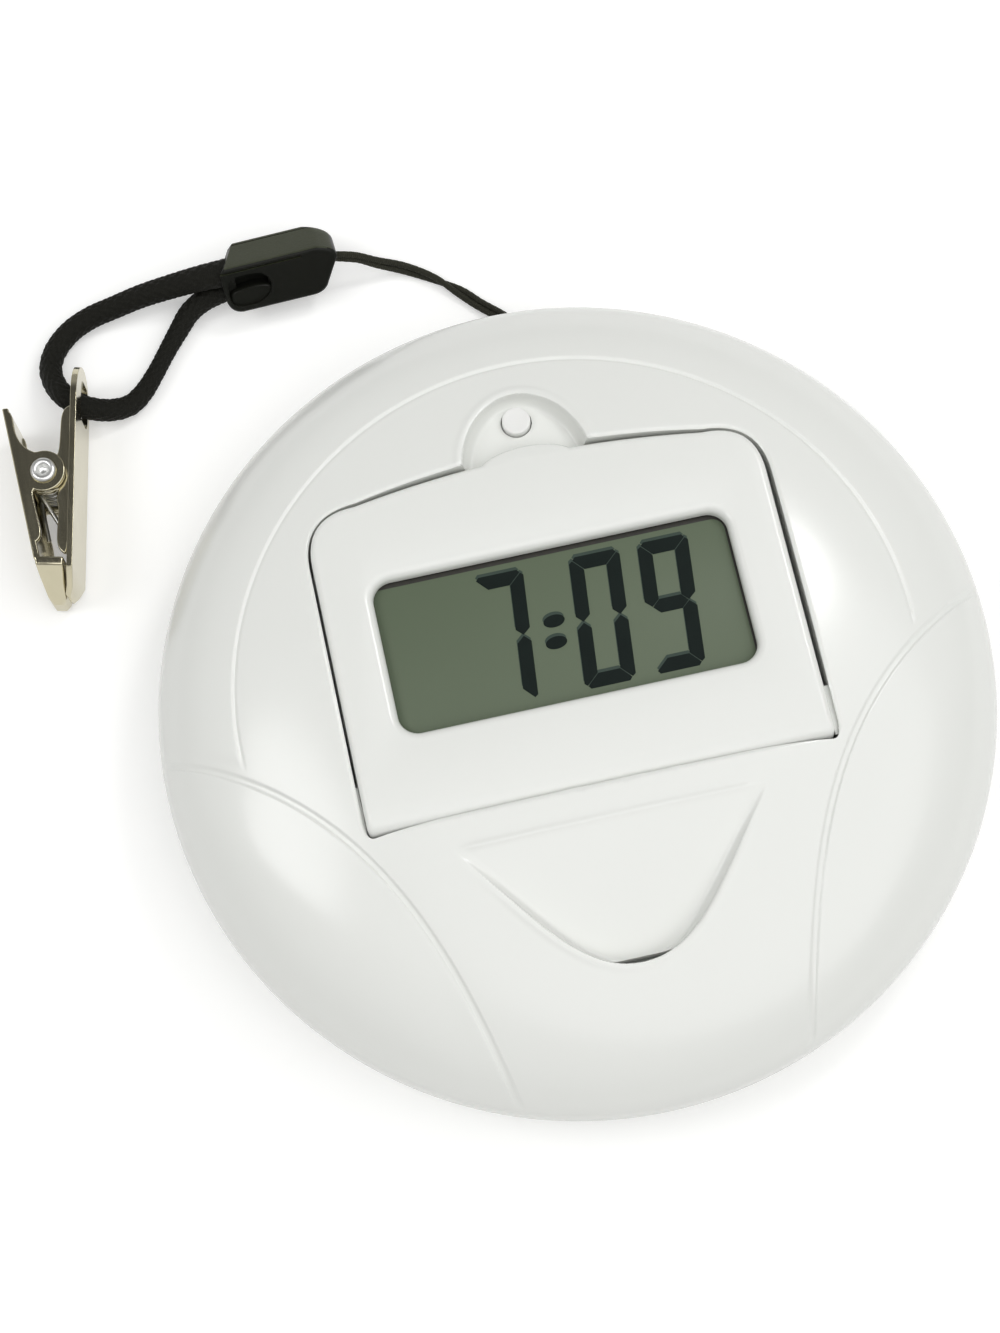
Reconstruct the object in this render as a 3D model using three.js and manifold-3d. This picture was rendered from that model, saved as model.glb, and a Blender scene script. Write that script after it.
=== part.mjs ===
// Vibrating alarm clock: a saucer-shaped case with a flip-up display lid, a shaker motor inside,
// and a wrist loop with a spring clip.
// Millimetres, +Z up. The origin is the centre of the flat base, +X is the clock's right,
// +Y runs from the front of the case to the round button behind the lid.

import * as THREE from 'three';
import { mergeVertices } from 'three/addons/utils/BufferGeometryUtils.js';
import Module from 'manifold-3d';

const wasm = await Module();
wasm.setup();

// Case
const caseRadius = 51;
const rimHeight = 10;
const domeHeight = 13.6;
const domePower = 3;
const baseRadius = 38;
const wall = 2;
const innerWall = 1.6;
const seam = 0.3;
const lipHeight = 1.2;
const lipWall = 1.2;
const roundSides = 40;
const curveSteps = 6;

// Clearances
const fit = 0.3;
const lidGap = 0.5;
const overcut = 1;

// Display lid
const lidSideMargin = 23.1;
const lidRearMargin = 23.4;
const lidBackRise = 1.8;
const lidCorner = 6.5;
const barrelRadius = 4;
const lidThickness = 7;
const lidTilt = THREE.MathUtils.degToRad(2);
const lidSink = 0.4;
const lidWall = 1.6;
const lidBackThickness = 1.2;
const lidUnderGap = 1;
const tongueHalfWidth = 6;
const tongueReach = 1.1;
const tongueThickness = 2.2;
const pinRadius = 1;
const bushRadius = 1.5;
const bushBore = 0.9;
const pinOverhang = 0.6;

// Liquid crystal display
const windowSideBorder = 6.25;
const windowFrontBorder = 7.05;
const windowBackBorder = 11.45;
const windowCorner = 2.4;
const windowBevel = 1.1;
const glassBorder = 1.9;
const glassThickness = 1.6;
const zebraWidth = 1.6;
const zebraHeight = 0.6;
const displayBoardThickness = 0.8;
const displayBoardBorder = 1.2;

// Finger recess with its button
const recessHalfWidth = 7.5;
const recessReach = 8.4;
const recessDepth = 2.6;
const testButtonInset = 3;
const testButtonRadius = 1.75;
const testButtonRise = 1;
const testTravel = 0.6;

// Scoop with its sound slit
const scoopGap = 3.8;
const scoopMargin = 16;
const scoopHalfWidth = 18;
const scoopDepth = 3.5;
const scoopTipHalfWidth = 4.5;
const slitWidth = 6.8;
const slitHeight = 0.9;

// Setting buttons and mode knob in the well
const buttonRadius = 3;
const buttonRise = 1.2;
const buttonTravel = 0.5;
const buttonPitch = 11;
const buttonRowInset = 12.2;
const flangeWidth = 1.2;
const flangeThickness = 1;
const stemRadius = 1.5;
const knobInset = 24.2;
const knobWidth = 4;
const knobDepth = 3;
const knobTravel = 2;

// Boards and what sits on them
const standoff = 3;
const standoffRadius = 2;
const boardThickness = 1.6;
const boardHalfWidth = 22;
const boardMargin = 2;
const switchWidth = 6;
const switchHeight = 2.8;
const slideSwitchWidth = 12;
const slideSwitchDepth = 5;
const chipWidth = 8;
const chipHeight = 1.5;
const crystalLength = 8;
const crystalRadius = 1.5;
const sounderRadius = 5;
const sounderHeight = 2.2;

// Shaker motor
const motorRadius = 6;
const motorLength = 16;
const shaftRadius = 1;
const shaftReach = 9;
const weightRadius = 5.4;
const weightThickness = 6;
const bracketLength = 10;
const motorLift = 1;

// Cells and contacts
const cellRadius = 5.25;
const cellLength = 44.5;
const cellNubRadius = 1.9;
const cellNubLength = 1;
const contactThickness = 0.5;
const contactSpringLength = 3.6;
const contactSpringRadius = 2.6;
const contactWireRadius = 0.3;
const contactTurns = 2;
const bayWall = 1.2;
const bayInset = 11;
const doorRecess = 0.4;
const doorTabWidth = 6;

// Screws
const screwRadius = 1.2;
const screwHeadRadius = 2.3;
const screwHeadHeight = 1.8;
const bossRadius = 3;
const postHeight = 5.7;
const counterbore = 3;
const screwInset = 9;
const screwAngles = [-35, 41, 139, 215].map(THREE.MathUtils.degToRad);
const lidScrewRadius = 0.8;
const lidScrewHeadRadius = 1.5;
const lidScrewHead = 0.8;
const lidBossRadius = 2.2;
const lidScrewSide = 7.9;
const lidScrewInset = 5;

// Strap pocket under the rear rim
const strapX = 4.8;
const strapPinInset = 5.6;
const strapPinRadius = 1.2;
const pocketHalfWidth = 3.6;
const pocketDepth = 2.9;
const pocketFloor = 4.2;
const pocketHeight = 3.4;

// Cords, strap joiner and clip
const thinCordRadius = 0.5;
const braidRadius = 2;
const cableRadius = 0.5;
const joinerLength = 15;
const joinerWidth = 6.5;
const joinerHeight = 7.8;
const joinerNose = 3;
const joinerTaper = 2;
const joinerTaperDepth = 1;
const notchInset = 3.6;
const notchRadius = 1.9;
const notchDepth = 2;
const joinerCentre = [-24.6, 66.2, 5.3];
const joinerTurn = THREE.MathUtils.degToRad(2);
const joinerRoll = THREE.MathUtils.degToRad(-35);
const clipPlace = [-58.5, 43.4, 0.6];
const clipTurn = THREE.MathUtils.degToRad(-13.5);
const clipWidth = 10;
const sheet = 0.8;
const earLobe = 2.3;
const rivetRadius = 1.1;
const rivetBore = 0.65;
const rivetRim = 1.6;
const rivetRimThickness = 0.3;
const clipSpringRadius = 2;
const clipWireRadius = 0.3;
const clipTurns = 4;
const clipSpringHeight = 4.8;
const curlSteps = 8;
const clipTip = -16.5;
const clipTipHalfWidth = 3;
const clipShoulder = -12.5;
const clipRear = 10.5;
const clipSlot = 5.4;
const clipSlotCorner = 1.5;
const clipSlotPlace = [11, 4];

// Heights and places that follow from the sizes above
const domeAt = (r) => rimHeight + domeHeight * Math.sqrt(1 - (r / caseRadius) ** domePower);
const bayFront = bayInset - caseRadius;
const bayRear = bayFront + 4 * cellRadius + 3 * fit;
const wellFront = bayRear + bayWall + 2 * fit;
const hingeY = wellFront + innerWall + lidGap + barrelRadius;
const hingeZ = domeAt(barrelRadius - hingeY) - lidSink - barrelRadius;
const lidHalfWidth = caseRadius - lidSideMargin;
const lidDepth = caseRadius - lidRearMargin - hingeY;
const lidScrewX = lidHalfWidth - lidScrewSide;
const windowWidth = 2 * (lidHalfWidth - windowSideBorder);
const windowHeight = lidDepth - windowFrontBorder - windowBackBorder;
const windowLidY = windowFrontBorder + windowHeight / 2;
const recessTop = hingeY + lidDepth + recessReach;
const testButtonY = recessTop - testButtonInset;
const scoopBack = hingeY - barrelRadius - scoopGap;
const scoopTip = scoopMargin - caseRadius;
const buttonRowY = hingeY + buttonRowInset;
const knobY = hingeY + knobInset;
const lidUnder = barrelRadius - lidThickness;
const wellFloor = hingeZ + lidUnder - lidDepth * Math.sin(lidTilt) - lidUnderGap;
const wellUnder = wellFloor - innerWall;
const wellSide = lidHalfWidth + lidGap + innerWall;
const boardUnder = wall + standoff;
const boardTop = boardUnder + boardThickness;
const switchTop = boardTop + fit + switchHeight;
const recessFloor = domeAt(testButtonY) - recessDepth;
const bayHalf = (cellLength + contactSpringLength + 2 * contactThickness + 4 * fit) / 2;
const cellZ = doorRecess + wall + fit + cellRadius;
const bayRoof = cellZ + cellRadius + fit;
const cellShift = bayHalf - contactThickness - 2 * fit - cellLength / 2;
const cellRows = [bayRear - fit - cellRadius, bayRear - 2 * fit - 3 * cellRadius];
const boardFront = bayRear + bayWall + 2 * fit;
const boardBack = recessTop + boardMargin;
const motorX = wellSide + 2 * fit + motorRadius;
const motorAxisZ = wall + fit + motorLift + motorRadius;
const strapPinY = caseRadius - strapPinInset;
const caseScrews = screwAngles.map((angle) => [
  (caseRadius - screwInset) * Math.cos(angle),
  (caseRadius - screwInset) * Math.sin(angle),
]);
const lidPocketFront = lidWall - Math.sqrt(barrelRadius ** 2 - lidUnder ** 2);

// Solids

function solid(geometry) {
  const loose = geometry.index ? geometry.toNonIndexed() : geometry.clone();
  loose.deleteAttribute('normal');
  loose.deleteAttribute('uv');
  const merged = mergeVertices(loose, 1e-4);
  const corners = merged.index.array;
  const triangles = [];
  for (let i = 0; i < corners.length; i += 3) {
    const [a, b, c] = corners.slice(i, i + 3);
    if (a !== b && b !== c && c !== a) triangles.push(a, b, c);
  }
  return new wasm.Manifold(new wasm.Mesh({
    numProp: 3,
    vertProperties: merged.attributes.position.array,
    triVerts: Uint32Array.from(triangles),
  }));
}

function geometryOf(body) {
  const mesh = body.getMesh();
  const geometry = new THREE.BufferGeometry();
  geometry.setAttribute('position', new THREE.BufferAttribute(mesh.vertProperties, 3));
  geometry.setIndex(new THREE.BufferAttribute(mesh.triVerts, 1));
  geometry.computeVertexNormals();
  return geometry;
}

function block(x0, x1, y0, y1, z0, z1) {
  const geometry = new THREE.BoxGeometry(x1 - x0, y1 - y0, z1 - z0);
  geometry.translate((x0 + x1) / 2, (y0 + y1) / 2, (z0 + z1) / 2);
  return solid(geometry);
}

function rod(x, y, z0, z1, radius, sides = 16) {
  const geometry = new THREE.CylinderGeometry(radius, radius, z1 - z0, sides);
  geometry.rotateX(Math.PI / 2);
  geometry.translate(x, y, (z0 + z1) / 2);
  return solid(geometry);
}

function rodAlongX(x0, x1, y, z, radius, sides = 16) {
  const geometry = new THREE.CylinderGeometry(radius, radius, x1 - x0, sides);
  geometry.rotateZ(-Math.PI / 2);
  geometry.translate((x0 + x1) / 2, y, z);
  return solid(geometry);
}

function rodAlongY(y0, y1, x, z, radius, sides = 16) {
  const geometry = new THREE.CylinderGeometry(radius, radius, y1 - y0, sides);
  geometry.translate(x, (y0 + y1) / 2, z);
  return solid(geometry);
}

function prism(shape, z0, z1, curveSegments = 6) {
  const geometry = new THREE.ExtrudeGeometry(shape, { depth: z1 - z0, bevelEnabled: false, curveSegments });
  geometry.translate(0, 0, z0);
  return solid(geometry);
}

function turned(profile) {
  const points = profile.map(([r, z]) => new THREE.Vector2(r, z));
  const geometry = new THREE.LatheGeometry(points, roundSides);
  geometry.rotateX(Math.PI / 2);
  return solid(geometry);
}

function polygon(points) {
  return new THREE.Shape(points.map(([x, y]) => new THREE.Vector2(x, y)));
}

function roundedRectangle(width, height, radius, x = 0, y = 0) {
  const shape = new THREE.Shape();
  const [w, h] = [width / 2, height / 2];
  shape.absarc(x + w - radius, y - h + radius, radius, -Math.PI / 2, 0);
  shape.absarc(x + w - radius, y + h - radius, radius, 0, Math.PI / 2);
  shape.absarc(x - w + radius, y + h - radius, radius, Math.PI / 2, Math.PI);
  shape.absarc(x - w + radius, y - h + radius, radius, Math.PI, 1.5 * Math.PI);
  return shape;
}

function ring(radius, sides) {
  const points = [];
  for (let i = 0; i < sides; i += 1) {
    const angle = (2 * Math.PI * i) / sides;
    points.push([radius * Math.cos(angle), radius * Math.sin(angle)]);
  }
  return polygon(points);
}

function tube(points, radius, steps, sides = 8) {
  const curve = new THREE.CatmullRomCurve3(points.map((p) => new THREE.Vector3(...p)), false, 'centripetal');
  return solid(new THREE.ExtrudeGeometry(ring(radius, sides), { steps, extrudePath: curve }));
}

// A wire along a list of close points, as one tube with flat ends.
function wire(points, radius, sides = 5) {
  const places = points.map((p) => new THREE.Vector3(...p));
  const flesh = [];
  const middles = places.map((p, i) => {
    const before = places[Math.max(i - 1, 0)];
    const after = places[Math.min(i + 1, places.length - 1)];
    return after.clone().sub(before).normalize();
  });
  let side = new THREE.Vector3(0, 0, 1).cross(middles[0]).normalize();
  places.forEach((p, i) => {
    side = side.clone().addScaledVector(middles[i], -side.dot(middles[i])).normalize();
    const across = middles[i].clone().cross(side);
    for (let k = 0; k < sides; k += 1) {
      const angle = (2 * Math.PI * k) / sides;
      const spot = p.clone();
      spot.addScaledVector(side, radius * Math.cos(angle));
      spot.addScaledVector(across, radius * Math.sin(angle));
      flesh.push(spot.x, spot.y, spot.z);
    }
  });
  const index = [];
  for (let i = 1; i < places.length; i += 1) {
    for (let k = 0; k < sides; k += 1) {
      const a = (i - 1) * sides + k;
      const b = (i - 1) * sides + ((k + 1) % sides);
      index.push(a, b, b + sides, a, b + sides, a + sides);
    }
  }
  const last = (places.length - 1) * sides;
  for (let k = 1; k < sides - 1; k += 1) {
    index.push(0, k + 1, k, last, last + k, last + k + 1);
  }
  const geometry = new THREE.BufferGeometry();
  geometry.setAttribute('position', new THREE.Float32BufferAttribute(flesh, 3));
  geometry.setIndex(index);
  return solid(geometry);
}

// Least gap between the turns of a wire, measured between points at least one turn's third apart.
function printSelfGap(name, points, radius, apart) {
  let least = Infinity;
  for (let i = 0; i < points.length; i += 1) {
    for (let j = i + apart; j < points.length; j += 1) {
      least = Math.min(least, new THREE.Vector3(...points[i]).distanceTo(new THREE.Vector3(...points[j])));
    }
  }
  console.log(`${name}: least gap to itself ${(least - 2 * radius).toFixed(2)} mm`);
}

function helix(radius, height, turns, startAngle = 0) {
  const points = [];
  for (let i = 0; i <= turns * curlSteps; i += 1) {
    const angle = startAngle + (2 * Math.PI * i) / curlSteps;
    const rise = (height * i) / (turns * curlSteps);
    points.push([radius * Math.cos(angle), radius * Math.sin(angle), rise]);
  }
  return points;
}

// Scene graph

const clock = new THREE.Group();
const lid = new THREE.Group();
lid.position.set(0, hingeY, hingeZ);
lid.rotation.x = -lidTilt;
const joiner = new THREE.Group();
joiner.position.set(...joinerCentre);
joiner.rotation.set(joinerRoll, 0, joinerTurn, 'ZYX');
const clip = new THREE.Group();
clip.position.set(...clipPlace);
clip.rotation.z = clipTurn;
clock.add(lid, joiner, clip);

function material(color, roughness, metalness = 0) {
  return new THREE.MeshStandardMaterial({ color, roughness, metalness });
}

const whitePlastic = () => material(0xeeefeb, 0.25);
const blackPlastic = () => material(0x24251f, 0.45);
const steel = () => material(0xb9bab6, 0.3, 1);
const nickel = () => material(0xd2cdbf, 0.18, 1);
const boardGreen = () => material(0x2d6b3c, 0.6);
const blackPart = () => material(0x1c1c1c, 0.5);

function piece(name, body, finish, parent = clock) {
  const mesh = new THREE.Mesh(geometryOf(body), finish);
  mesh.name = name;
  parent.add(mesh);
}

// Case shells

function domeCurve(radius, height) {
  const points = [];
  for (let i = 0; i <= curveSteps; i += 1) {
    const r = radius * Math.cos((i / curveSteps) * (Math.PI / 2));
    const clean = i === curveSteps ? 0 : r;
    points.push([clean, rimHeight + height * Math.sqrt(1 - (clean / radius) ** domePower)]);
  }
  return points;
}

// Quarter of an ellipse from the flat floor up to the side.
function bowlCurve(flatRadius, floor, sideRadius, top) {
  const points = [];
  for (let i = 0; i <= curveSteps; i += 1) {
    const angle = (i / curveSteps) * (Math.PI / 2);
    points.push([
      flatRadius + (sideRadius - flatRadius) * Math.sin(angle),
      floor + (top - floor) * (1 - Math.cos(angle)),
    ]);
  }
  return points;
}

const seamTop = rimHeight - seam;
const lipOuter = caseRadius - wall - 2 * fit;
const lipInner = lipOuter - lipWall;
const bowlTop = rimHeight - wall;
const outerDome = domeCurve(caseRadius, domeHeight);
const innerDome = domeCurve(caseRadius - wall, domeHeight - wall);
const outerBowl = bowlCurve(baseRadius, 0, caseRadius, seamTop);
const innerBowl = bowlCurve(baseRadius - wall / 2, wall, lipInner, bowlTop);

const domeShell = turned([...innerDome].reverse().concat(outerDome));
const domeBody = turned([[0, -wall], [caseRadius, -wall], ...outerDome]);
const bowlBody = turned([[0, 0], ...outerBowl, [0, seamTop]]);
const bowlShell = turned([
  [0, 0],
  ...outerBowl,
  [lipOuter, seamTop],
  [lipOuter, rimHeight + lipHeight],
  [lipInner, rimHeight + lipHeight],
  ...[...innerBowl].reverse(),
  [0, wall],
]);
const cavity = turned([
  [0, wall + fit],
  ...innerBowl.map(([r, z]) => [r - fit, z + fit]),
  ...domeCurve(lipInner - fit, domeHeight - wall - fit),
]);

// Lid outline in the lid's own plane, with the hinge axis along y = 0, grown outwards by a margin.
function lidOutline(grow) {
  const side = lidHalfWidth + grow;
  const front = -barrelRadius - grow;
  const shoulder = lidDepth - lidBackRise + grow;
  const corner = lidCorner + grow;
  const shape = new THREE.Shape();
  shape.moveTo(-side, front);
  shape.lineTo(side, front);
  shape.lineTo(side, shoulder - corner);
  shape.quadraticCurveTo(side, shoulder, side - corner, shoulder);
  shape.quadraticCurveTo(0, shoulder + 2 * lidBackRise, corner - side, shoulder);
  shape.quadraticCurveTo(-side, shoulder, -side, shoulder - corner);
  return shape;
}

function tongueOutline() {
  const shape = new THREE.Shape();
  shape.absellipse(0, lidDepth - lidWall, tongueHalfWidth, lidWall + tongueReach, 0, 2 * Math.PI);
  return shape;
}

const above = rimHeight + domeHeight + wall;

function wellBody(grow, floor) {
  return prism(lidOutline(lidGap + grow), floor, above).translate([0, hingeY, 0]);
}

function recessBody(grow, floor) {
  const shape = new THREE.Shape();
  const side = recessHalfWidth + grow;
  const top = recessTop + grow;
  const start = hingeY + lidDepth - lidWall;
  const shoulder = (start + top) / 2;
  shape.moveTo(-side, start);
  shape.lineTo(side, start);
  shape.bezierCurveTo(side, shoulder, side / 2, top, 0, top);
  shape.bezierCurveTo(-side / 2, top, -side, shoulder, -side, start);
  return prism(shape, floor, above);
}

// The scoop's floor falls away from its back edge, so its body is a leaning prism.
const scoopRun = scoopBack - scoopTip;
const scoopDrop = domeAt(-scoopBack) - domeAt(-scoopTip) + scoopDepth;
const scoopLean = Math.atan2(scoopDrop, scoopRun);

function scoopBody(grow) {
  const reach = Math.hypot(scoopRun, scoopDrop) + grow;
  const side = scoopHalfWidth + grow;
  const tip = scoopTipHalfWidth + grow / 2;
  const shape = new THREE.Shape();
  shape.moveTo(-side, grow);
  shape.lineTo(-tip, tip - reach);
  shape.quadraticCurveTo(0, -reach - tip / 2, tip, tip - reach);
  shape.lineTo(side, grow);
  const leaning = prism(shape, -grow, 2 * domeHeight);
  const turn = THREE.MathUtils.radToDeg(scoopLean);
  return leaning.rotate([turn, 0, 0]).translate([0, scoopBack, domeAt(-scoopBack)]);
}

function buttonPlaces() {
  const names = ['hour_button', 'minute_button', 'time_button', 'alarm_button'];
  return names.map((name, i) => [name, (i - (names.length - 1) / 2) * buttonPitch, buttonRowY]);
}

function makeTopCase() {
  let body = domeShell;
  const linings = [wellBody(innerWall, wellUnder), recessBody(innerWall, recessFloor - innerWall)];
  linings.push(scoopBody(innerWall));
  for (const [x, y] of caseScrews) linings.push(rod(x, y, postHeight + fit, above, bossRadius));
  for (const lining of linings) body = body.add(lining.intersect(domeBody));
  const slitZ = domeAt(-scoopTip) - scoopDepth;
  const slitY = scoopTip - scoopDepth;
  const cuts = [wellBody(0, wellFloor), recessBody(0, recessFloor), scoopBody(0)];
  cuts.push(block(-slitWidth / 2, slitWidth / 2, slitY, scoopTip + scoopDepth, slitZ, slitZ + slitHeight));
  cuts.push(rodAlongX(lidHalfWidth, wellSide + overcut, hingeY, hingeZ, pinRadius + fit));
  cuts.push(rodAlongX(-wellSide - overcut, -lidHalfWidth, hingeY, hingeZ, bushRadius + fit));
  cuts.push(rod(0, testButtonY, recessFloor - wall, above, testButtonRadius + fit));
  for (const [, x, y] of buttonPlaces()) {
    cuts.push(rod(x, y, wellUnder - overcut, above, buttonRadius + fit));
  }
  const slot = knobWidth / 2 + knobTravel + fit;
  const slotDepth = knobDepth / 2 + fit;
  cuts.push(block(-slot, slot, knobY - slotDepth, knobY + slotDepth, wellUnder - overcut, above));
  for (const [x, y] of caseScrews) {
    cuts.push(rod(x, y, postHeight - overcut, domeAt(Math.hypot(x, y)) - 2 * wall, screwRadius + fit));
  }
  for (const cut of cuts) body = body.subtract(cut);
  piece('top_case', body, whitePlastic());
}

function bayPrism(shrink, z0, z1) {
  return block(-bayHalf + shrink, bayHalf - shrink, bayFront + shrink, bayRear - shrink, z0, z1);
}

const doorTabs = [-bayHalf / 2, bayHalf / 2];
const doorTabZ = doorRecess + wall / 2;
const pocketTop = pocketFloor + pocketHeight;
const pocketY = strapPinY - pocketDepth;

function makeBottomCase() {
  let body = bowlShell;
  const bay = bayPrism(-bayWall, 0, bayRoof + bayWall);
  body = body.add(bay.intersect(bowlBody.add(cavity)));
  for (const [x, y] of caseScrews) {
    body = body.add(rod(x, y, 0, postHeight, screwHeadRadius + fit + wall / 2).intersect(bowlBody));
  }
  const standX = boardHalfWidth - standoffRadius;
  for (const x of [-standX, standX]) {
    for (const y of [boardFront + standoffRadius, hingeY + lidDepth]) {
      body = body.add(rod(x, y, wall / 2, boardUnder - fit, standoffRadius));
    }
  }
  const pocketSide = pocketHalfWidth + innerWall;
  const lining = block(-pocketSide, pocketSide, pocketY - innerWall, caseRadius, wall, pocketTop + innerWall);
  body = body.add(lining.translate([strapX, 0, 0]).intersect(bowlBody));
  const cuts = [bayPrism(0, -wall, bayRoof)];
  const tabRoom = doorTabWidth / 2 + fit;
  for (const x of doorTabs) {
    cuts.push(block(x - tabRoom, x + tabRoom, bayRear - wall, bayRear + bayWall + fit, doorTabZ - fit,
      doorTabZ + wall));
  }
  cuts.push(block(strapX - pocketHalfWidth, strapX + pocketHalfWidth, pocketY, caseRadius + wall, pocketFloor,
    pocketTop));
  const pinRoom = strapPinRadius + fit;
  cuts.push(rod(strapX, strapPinY, pocketFloor - wall / 2, pocketTop + wall / 2, pinRoom));
  for (const [x, y] of caseScrews) {
    cuts.push(rod(x, y, -overcut, counterbore, screwHeadRadius + fit));
    cuts.push(rod(x, y, 0, postHeight + overcut, screwRadius + fit));
  }
  for (const cut of cuts) body = body.subtract(cut);
  piece('bottom_case', body, whitePlastic());
  piece('strap_pin', rod(strapX, strapPinY, pocketFloor - wall / 2 + fit, pocketTop + wall / 2 - fit,
    strapPinRadius, 12), steel());
}

// The door is cut from the same bowl as the case, so its curved front follows the case.
// Two tabs reach through the wall behind it, and the cells lie in its hollows.
function makeBatteryDoor() {
  const doorShell = bowlBody.subtract(bowlBody.translate([0, 0, wall]));
  let body = doorShell.translate([0, 0, doorRecess]).intersect(bayPrism(fit, -wall, cellZ));
  const half = doorTabWidth / 2;
  for (const x of doorTabs) {
    const tab = block(x - half, x + half, bayRear - wall, bayRear + bayWall, doorTabZ, doorRecess + wall);
    body = body.add(tab);
  }
  for (const y of cellRows) {
    body = body.subtract(rodAlongX(-bayHalf, bayHalf, y, cellZ, cellRadius + fit, 24));
  }
  piece('battery_door', body, whitePlastic());
}

function makeCaseScrews() {
  const headZ = counterbore - fit - screwHeadHeight;
  caseScrews.forEach(([x, y], i) => {
    const head = rod(x, y, headZ, headZ + screwHeadHeight, screwHeadRadius);
    const tip = domeAt(Math.hypot(x, y)) - 2 * wall - 2 * fit;
    const shank = rod(x, y, headZ, tip, screwRadius, 12);
    const cross = screwHeadRadius - fit;
    const slot = block(x - cross, x + cross, y - fit, y + fit, headZ - overcut, headZ + 2 * fit);
    piece(`case_screw_${i + 1}`, head.add(shank).subtract(slot), steel());
  });
}

makeTopCase();
makeBottomCase();
makeBatteryDoor();
makeCaseScrews();

// Display lid, in its own tilted group with the hinge axis along x at the origin

function makeLid() {
  const outline = prism(lidOutline(0), lidUnder, barrelRadius);
  const behindHinge = block(-caseRadius, caseRadius, 0, caseRadius, -barrelRadius, barrelRadius);
  const barrel = rodAlongX(-caseRadius, caseRadius, 0, 0, barrelRadius, 32);
  let frame = outline.intersect(behindHinge.add(barrel));
  frame = frame.add(prism(tongueOutline(), barrelRadius - tongueThickness, barrelRadius, 10));
  const pocketTopZ = barrelRadius - lidWall;
  const inside = block(-caseRadius, caseRadius, lidPocketFront, caseRadius, -caseRadius, caseRadius);
  frame = frame.subtract(prism(lidOutline(-lidWall), lidUnder - overcut, pocketTopZ).intersect(inside));
  const opening = roundedRectangle(windowWidth, windowHeight, windowCorner, 0, windowLidY);
  const bevelled = new THREE.ExtrudeGeometry(opening, {
    depth: lidWall,
    bevelThickness: windowBevel,
    bevelSize: windowBevel,
    bevelSegments: 1,
    curveSegments: 3,
  });
  bevelled.translate(0, 0, barrelRadius);
  frame = frame.subtract(prism(opening, pocketTopZ - overcut, barrelRadius + overcut, 3));
  frame = frame.subtract(solid(bevelled));
  const screwY = lidDepth - lidScrewInset;
  const backTop = lidUnder + lidBackThickness;
  const outlineBack = prism(lidOutline(-lidWall - fit), lidUnder, backTop);
  let back = outlineBack.intersect(inside.translate([0, fit, 0]));
  for (const x of [-lidScrewX, lidScrewX]) {
    frame = frame.add(rod(x, screwY, backTop + fit, pocketTopZ + fit, lidBossRadius, 12));
    frame = frame.subtract(rod(x, screwY, backTop, pocketTopZ, lidScrewRadius + fit, 12));
    const below = lidUnder - overcut;
    back = back.subtract(rod(x, screwY, below, backTop + overcut, lidScrewRadius + fit, 12));
    back = back.subtract(rod(x, screwY, below, lidUnder + lidScrewHead, lidScrewHeadRadius + fit, 12));
    const head = rod(x, screwY, lidUnder, lidUnder + lidScrewHead - fit, lidScrewHeadRadius, 12);
    const shank = rod(x, screwY, lidUnder, pocketTopZ - fit, lidScrewRadius, 8);
    piece(x < 0 ? 'lid_screw_left' : 'lid_screw_right', head.add(shank), steel(), lid);
  }
  const bore = lidHalfWidth - lidWall - pinOverhang - fit;
  frame = frame.subtract(rodAlongX(bore, caseRadius, 0, 0, pinRadius + fit));
  frame = frame.subtract(rodAlongX(-caseRadius, -bore, 0, 0, bushRadius + fit));
  piece('lid_frame', frame, whitePlastic(), lid);
  piece('lid_back', back, whitePlastic(), lid);

  const glassTop = pocketTopZ - fit;
  const glassUnder = glassTop - glassThickness;
  const halfX = windowWidth / 2 + glassBorder;
  const halfY = windowHeight / 2 + glassBorder;
  const [glassFront, glassBack] = [windowLidY - halfY, windowLidY + halfY];
  const glass = block(-halfX, halfX, glassFront, glassBack, glassUnder, glassTop);
  piece('lcd_panel', glass, material(0x69745f, 0.35), lid);
  const zebraTop = glassUnder - fit;
  const zebraUnder = zebraTop - zebraHeight;
  const zebraHalf = halfX - zebraWidth;
  piece('zebra_strip_front', block(-zebraHalf, zebraHalf, glassFront + fit, glassFront + fit + zebraWidth,
    zebraUnder, zebraTop), blackPart(), lid);
  piece('zebra_strip_back', block(-zebraHalf, zebraHalf, glassBack - fit - zebraWidth, glassBack - fit,
    zebraUnder, zebraTop), blackPart(), lid);
  const boardTopZ = zebraUnder - fit;
  const edge = displayBoardBorder;
  piece('display_board', block(-halfX - edge, halfX + edge, glassFront - edge, glassBack + edge,
    boardTopZ - displayBoardThickness, boardTopZ), boardGreen(), lid);
}

function makeHinge() {
  const inner = lidHalfWidth - lidWall - pinOverhang;
  const outer = wellSide + pinOverhang;
  piece('hinge_pin', rodAlongX(inner, outer, hingeY, hingeZ, pinRadius, 16), steel());
  const sleeve = rodAlongX(-outer, -inner, hingeY, hingeZ, bushRadius, 16);
  const bore = rodAlongX(-outer - overcut, -inner + overcut, hingeY, hingeZ, bushBore, 12);
  piece('hinge_bush', sleeve.subtract(bore), steel());
  const drop = outer + 4 * cableRadius;
  piece('display_cable', tube([
    [-inner + 4 * cableRadius, hingeY, hingeZ],
    [-outer, hingeY, hingeZ],
    [-outer - 2 * cableRadius, hingeY, hingeZ - cableRadius],
    [-drop, hingeY, hingeZ - 4 * cableRadius],
    [-drop, hingeY, (hingeZ + switchTop) / 2],
    [-drop, hingeY, switchTop + cableRadius],
    [-drop + 4 * cableRadius, hingeY, boardTop + switchHeight],
    [-boardHalfWidth, hingeY, boardTop + 2 * fit + 2 * cableRadius],
    [-boardHalfWidth + 4 * cableRadius, hingeY, boardTop + fit + cableRadius],
  ], cableRadius, 24, 6), blackPart());
}

// Buttons

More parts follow.
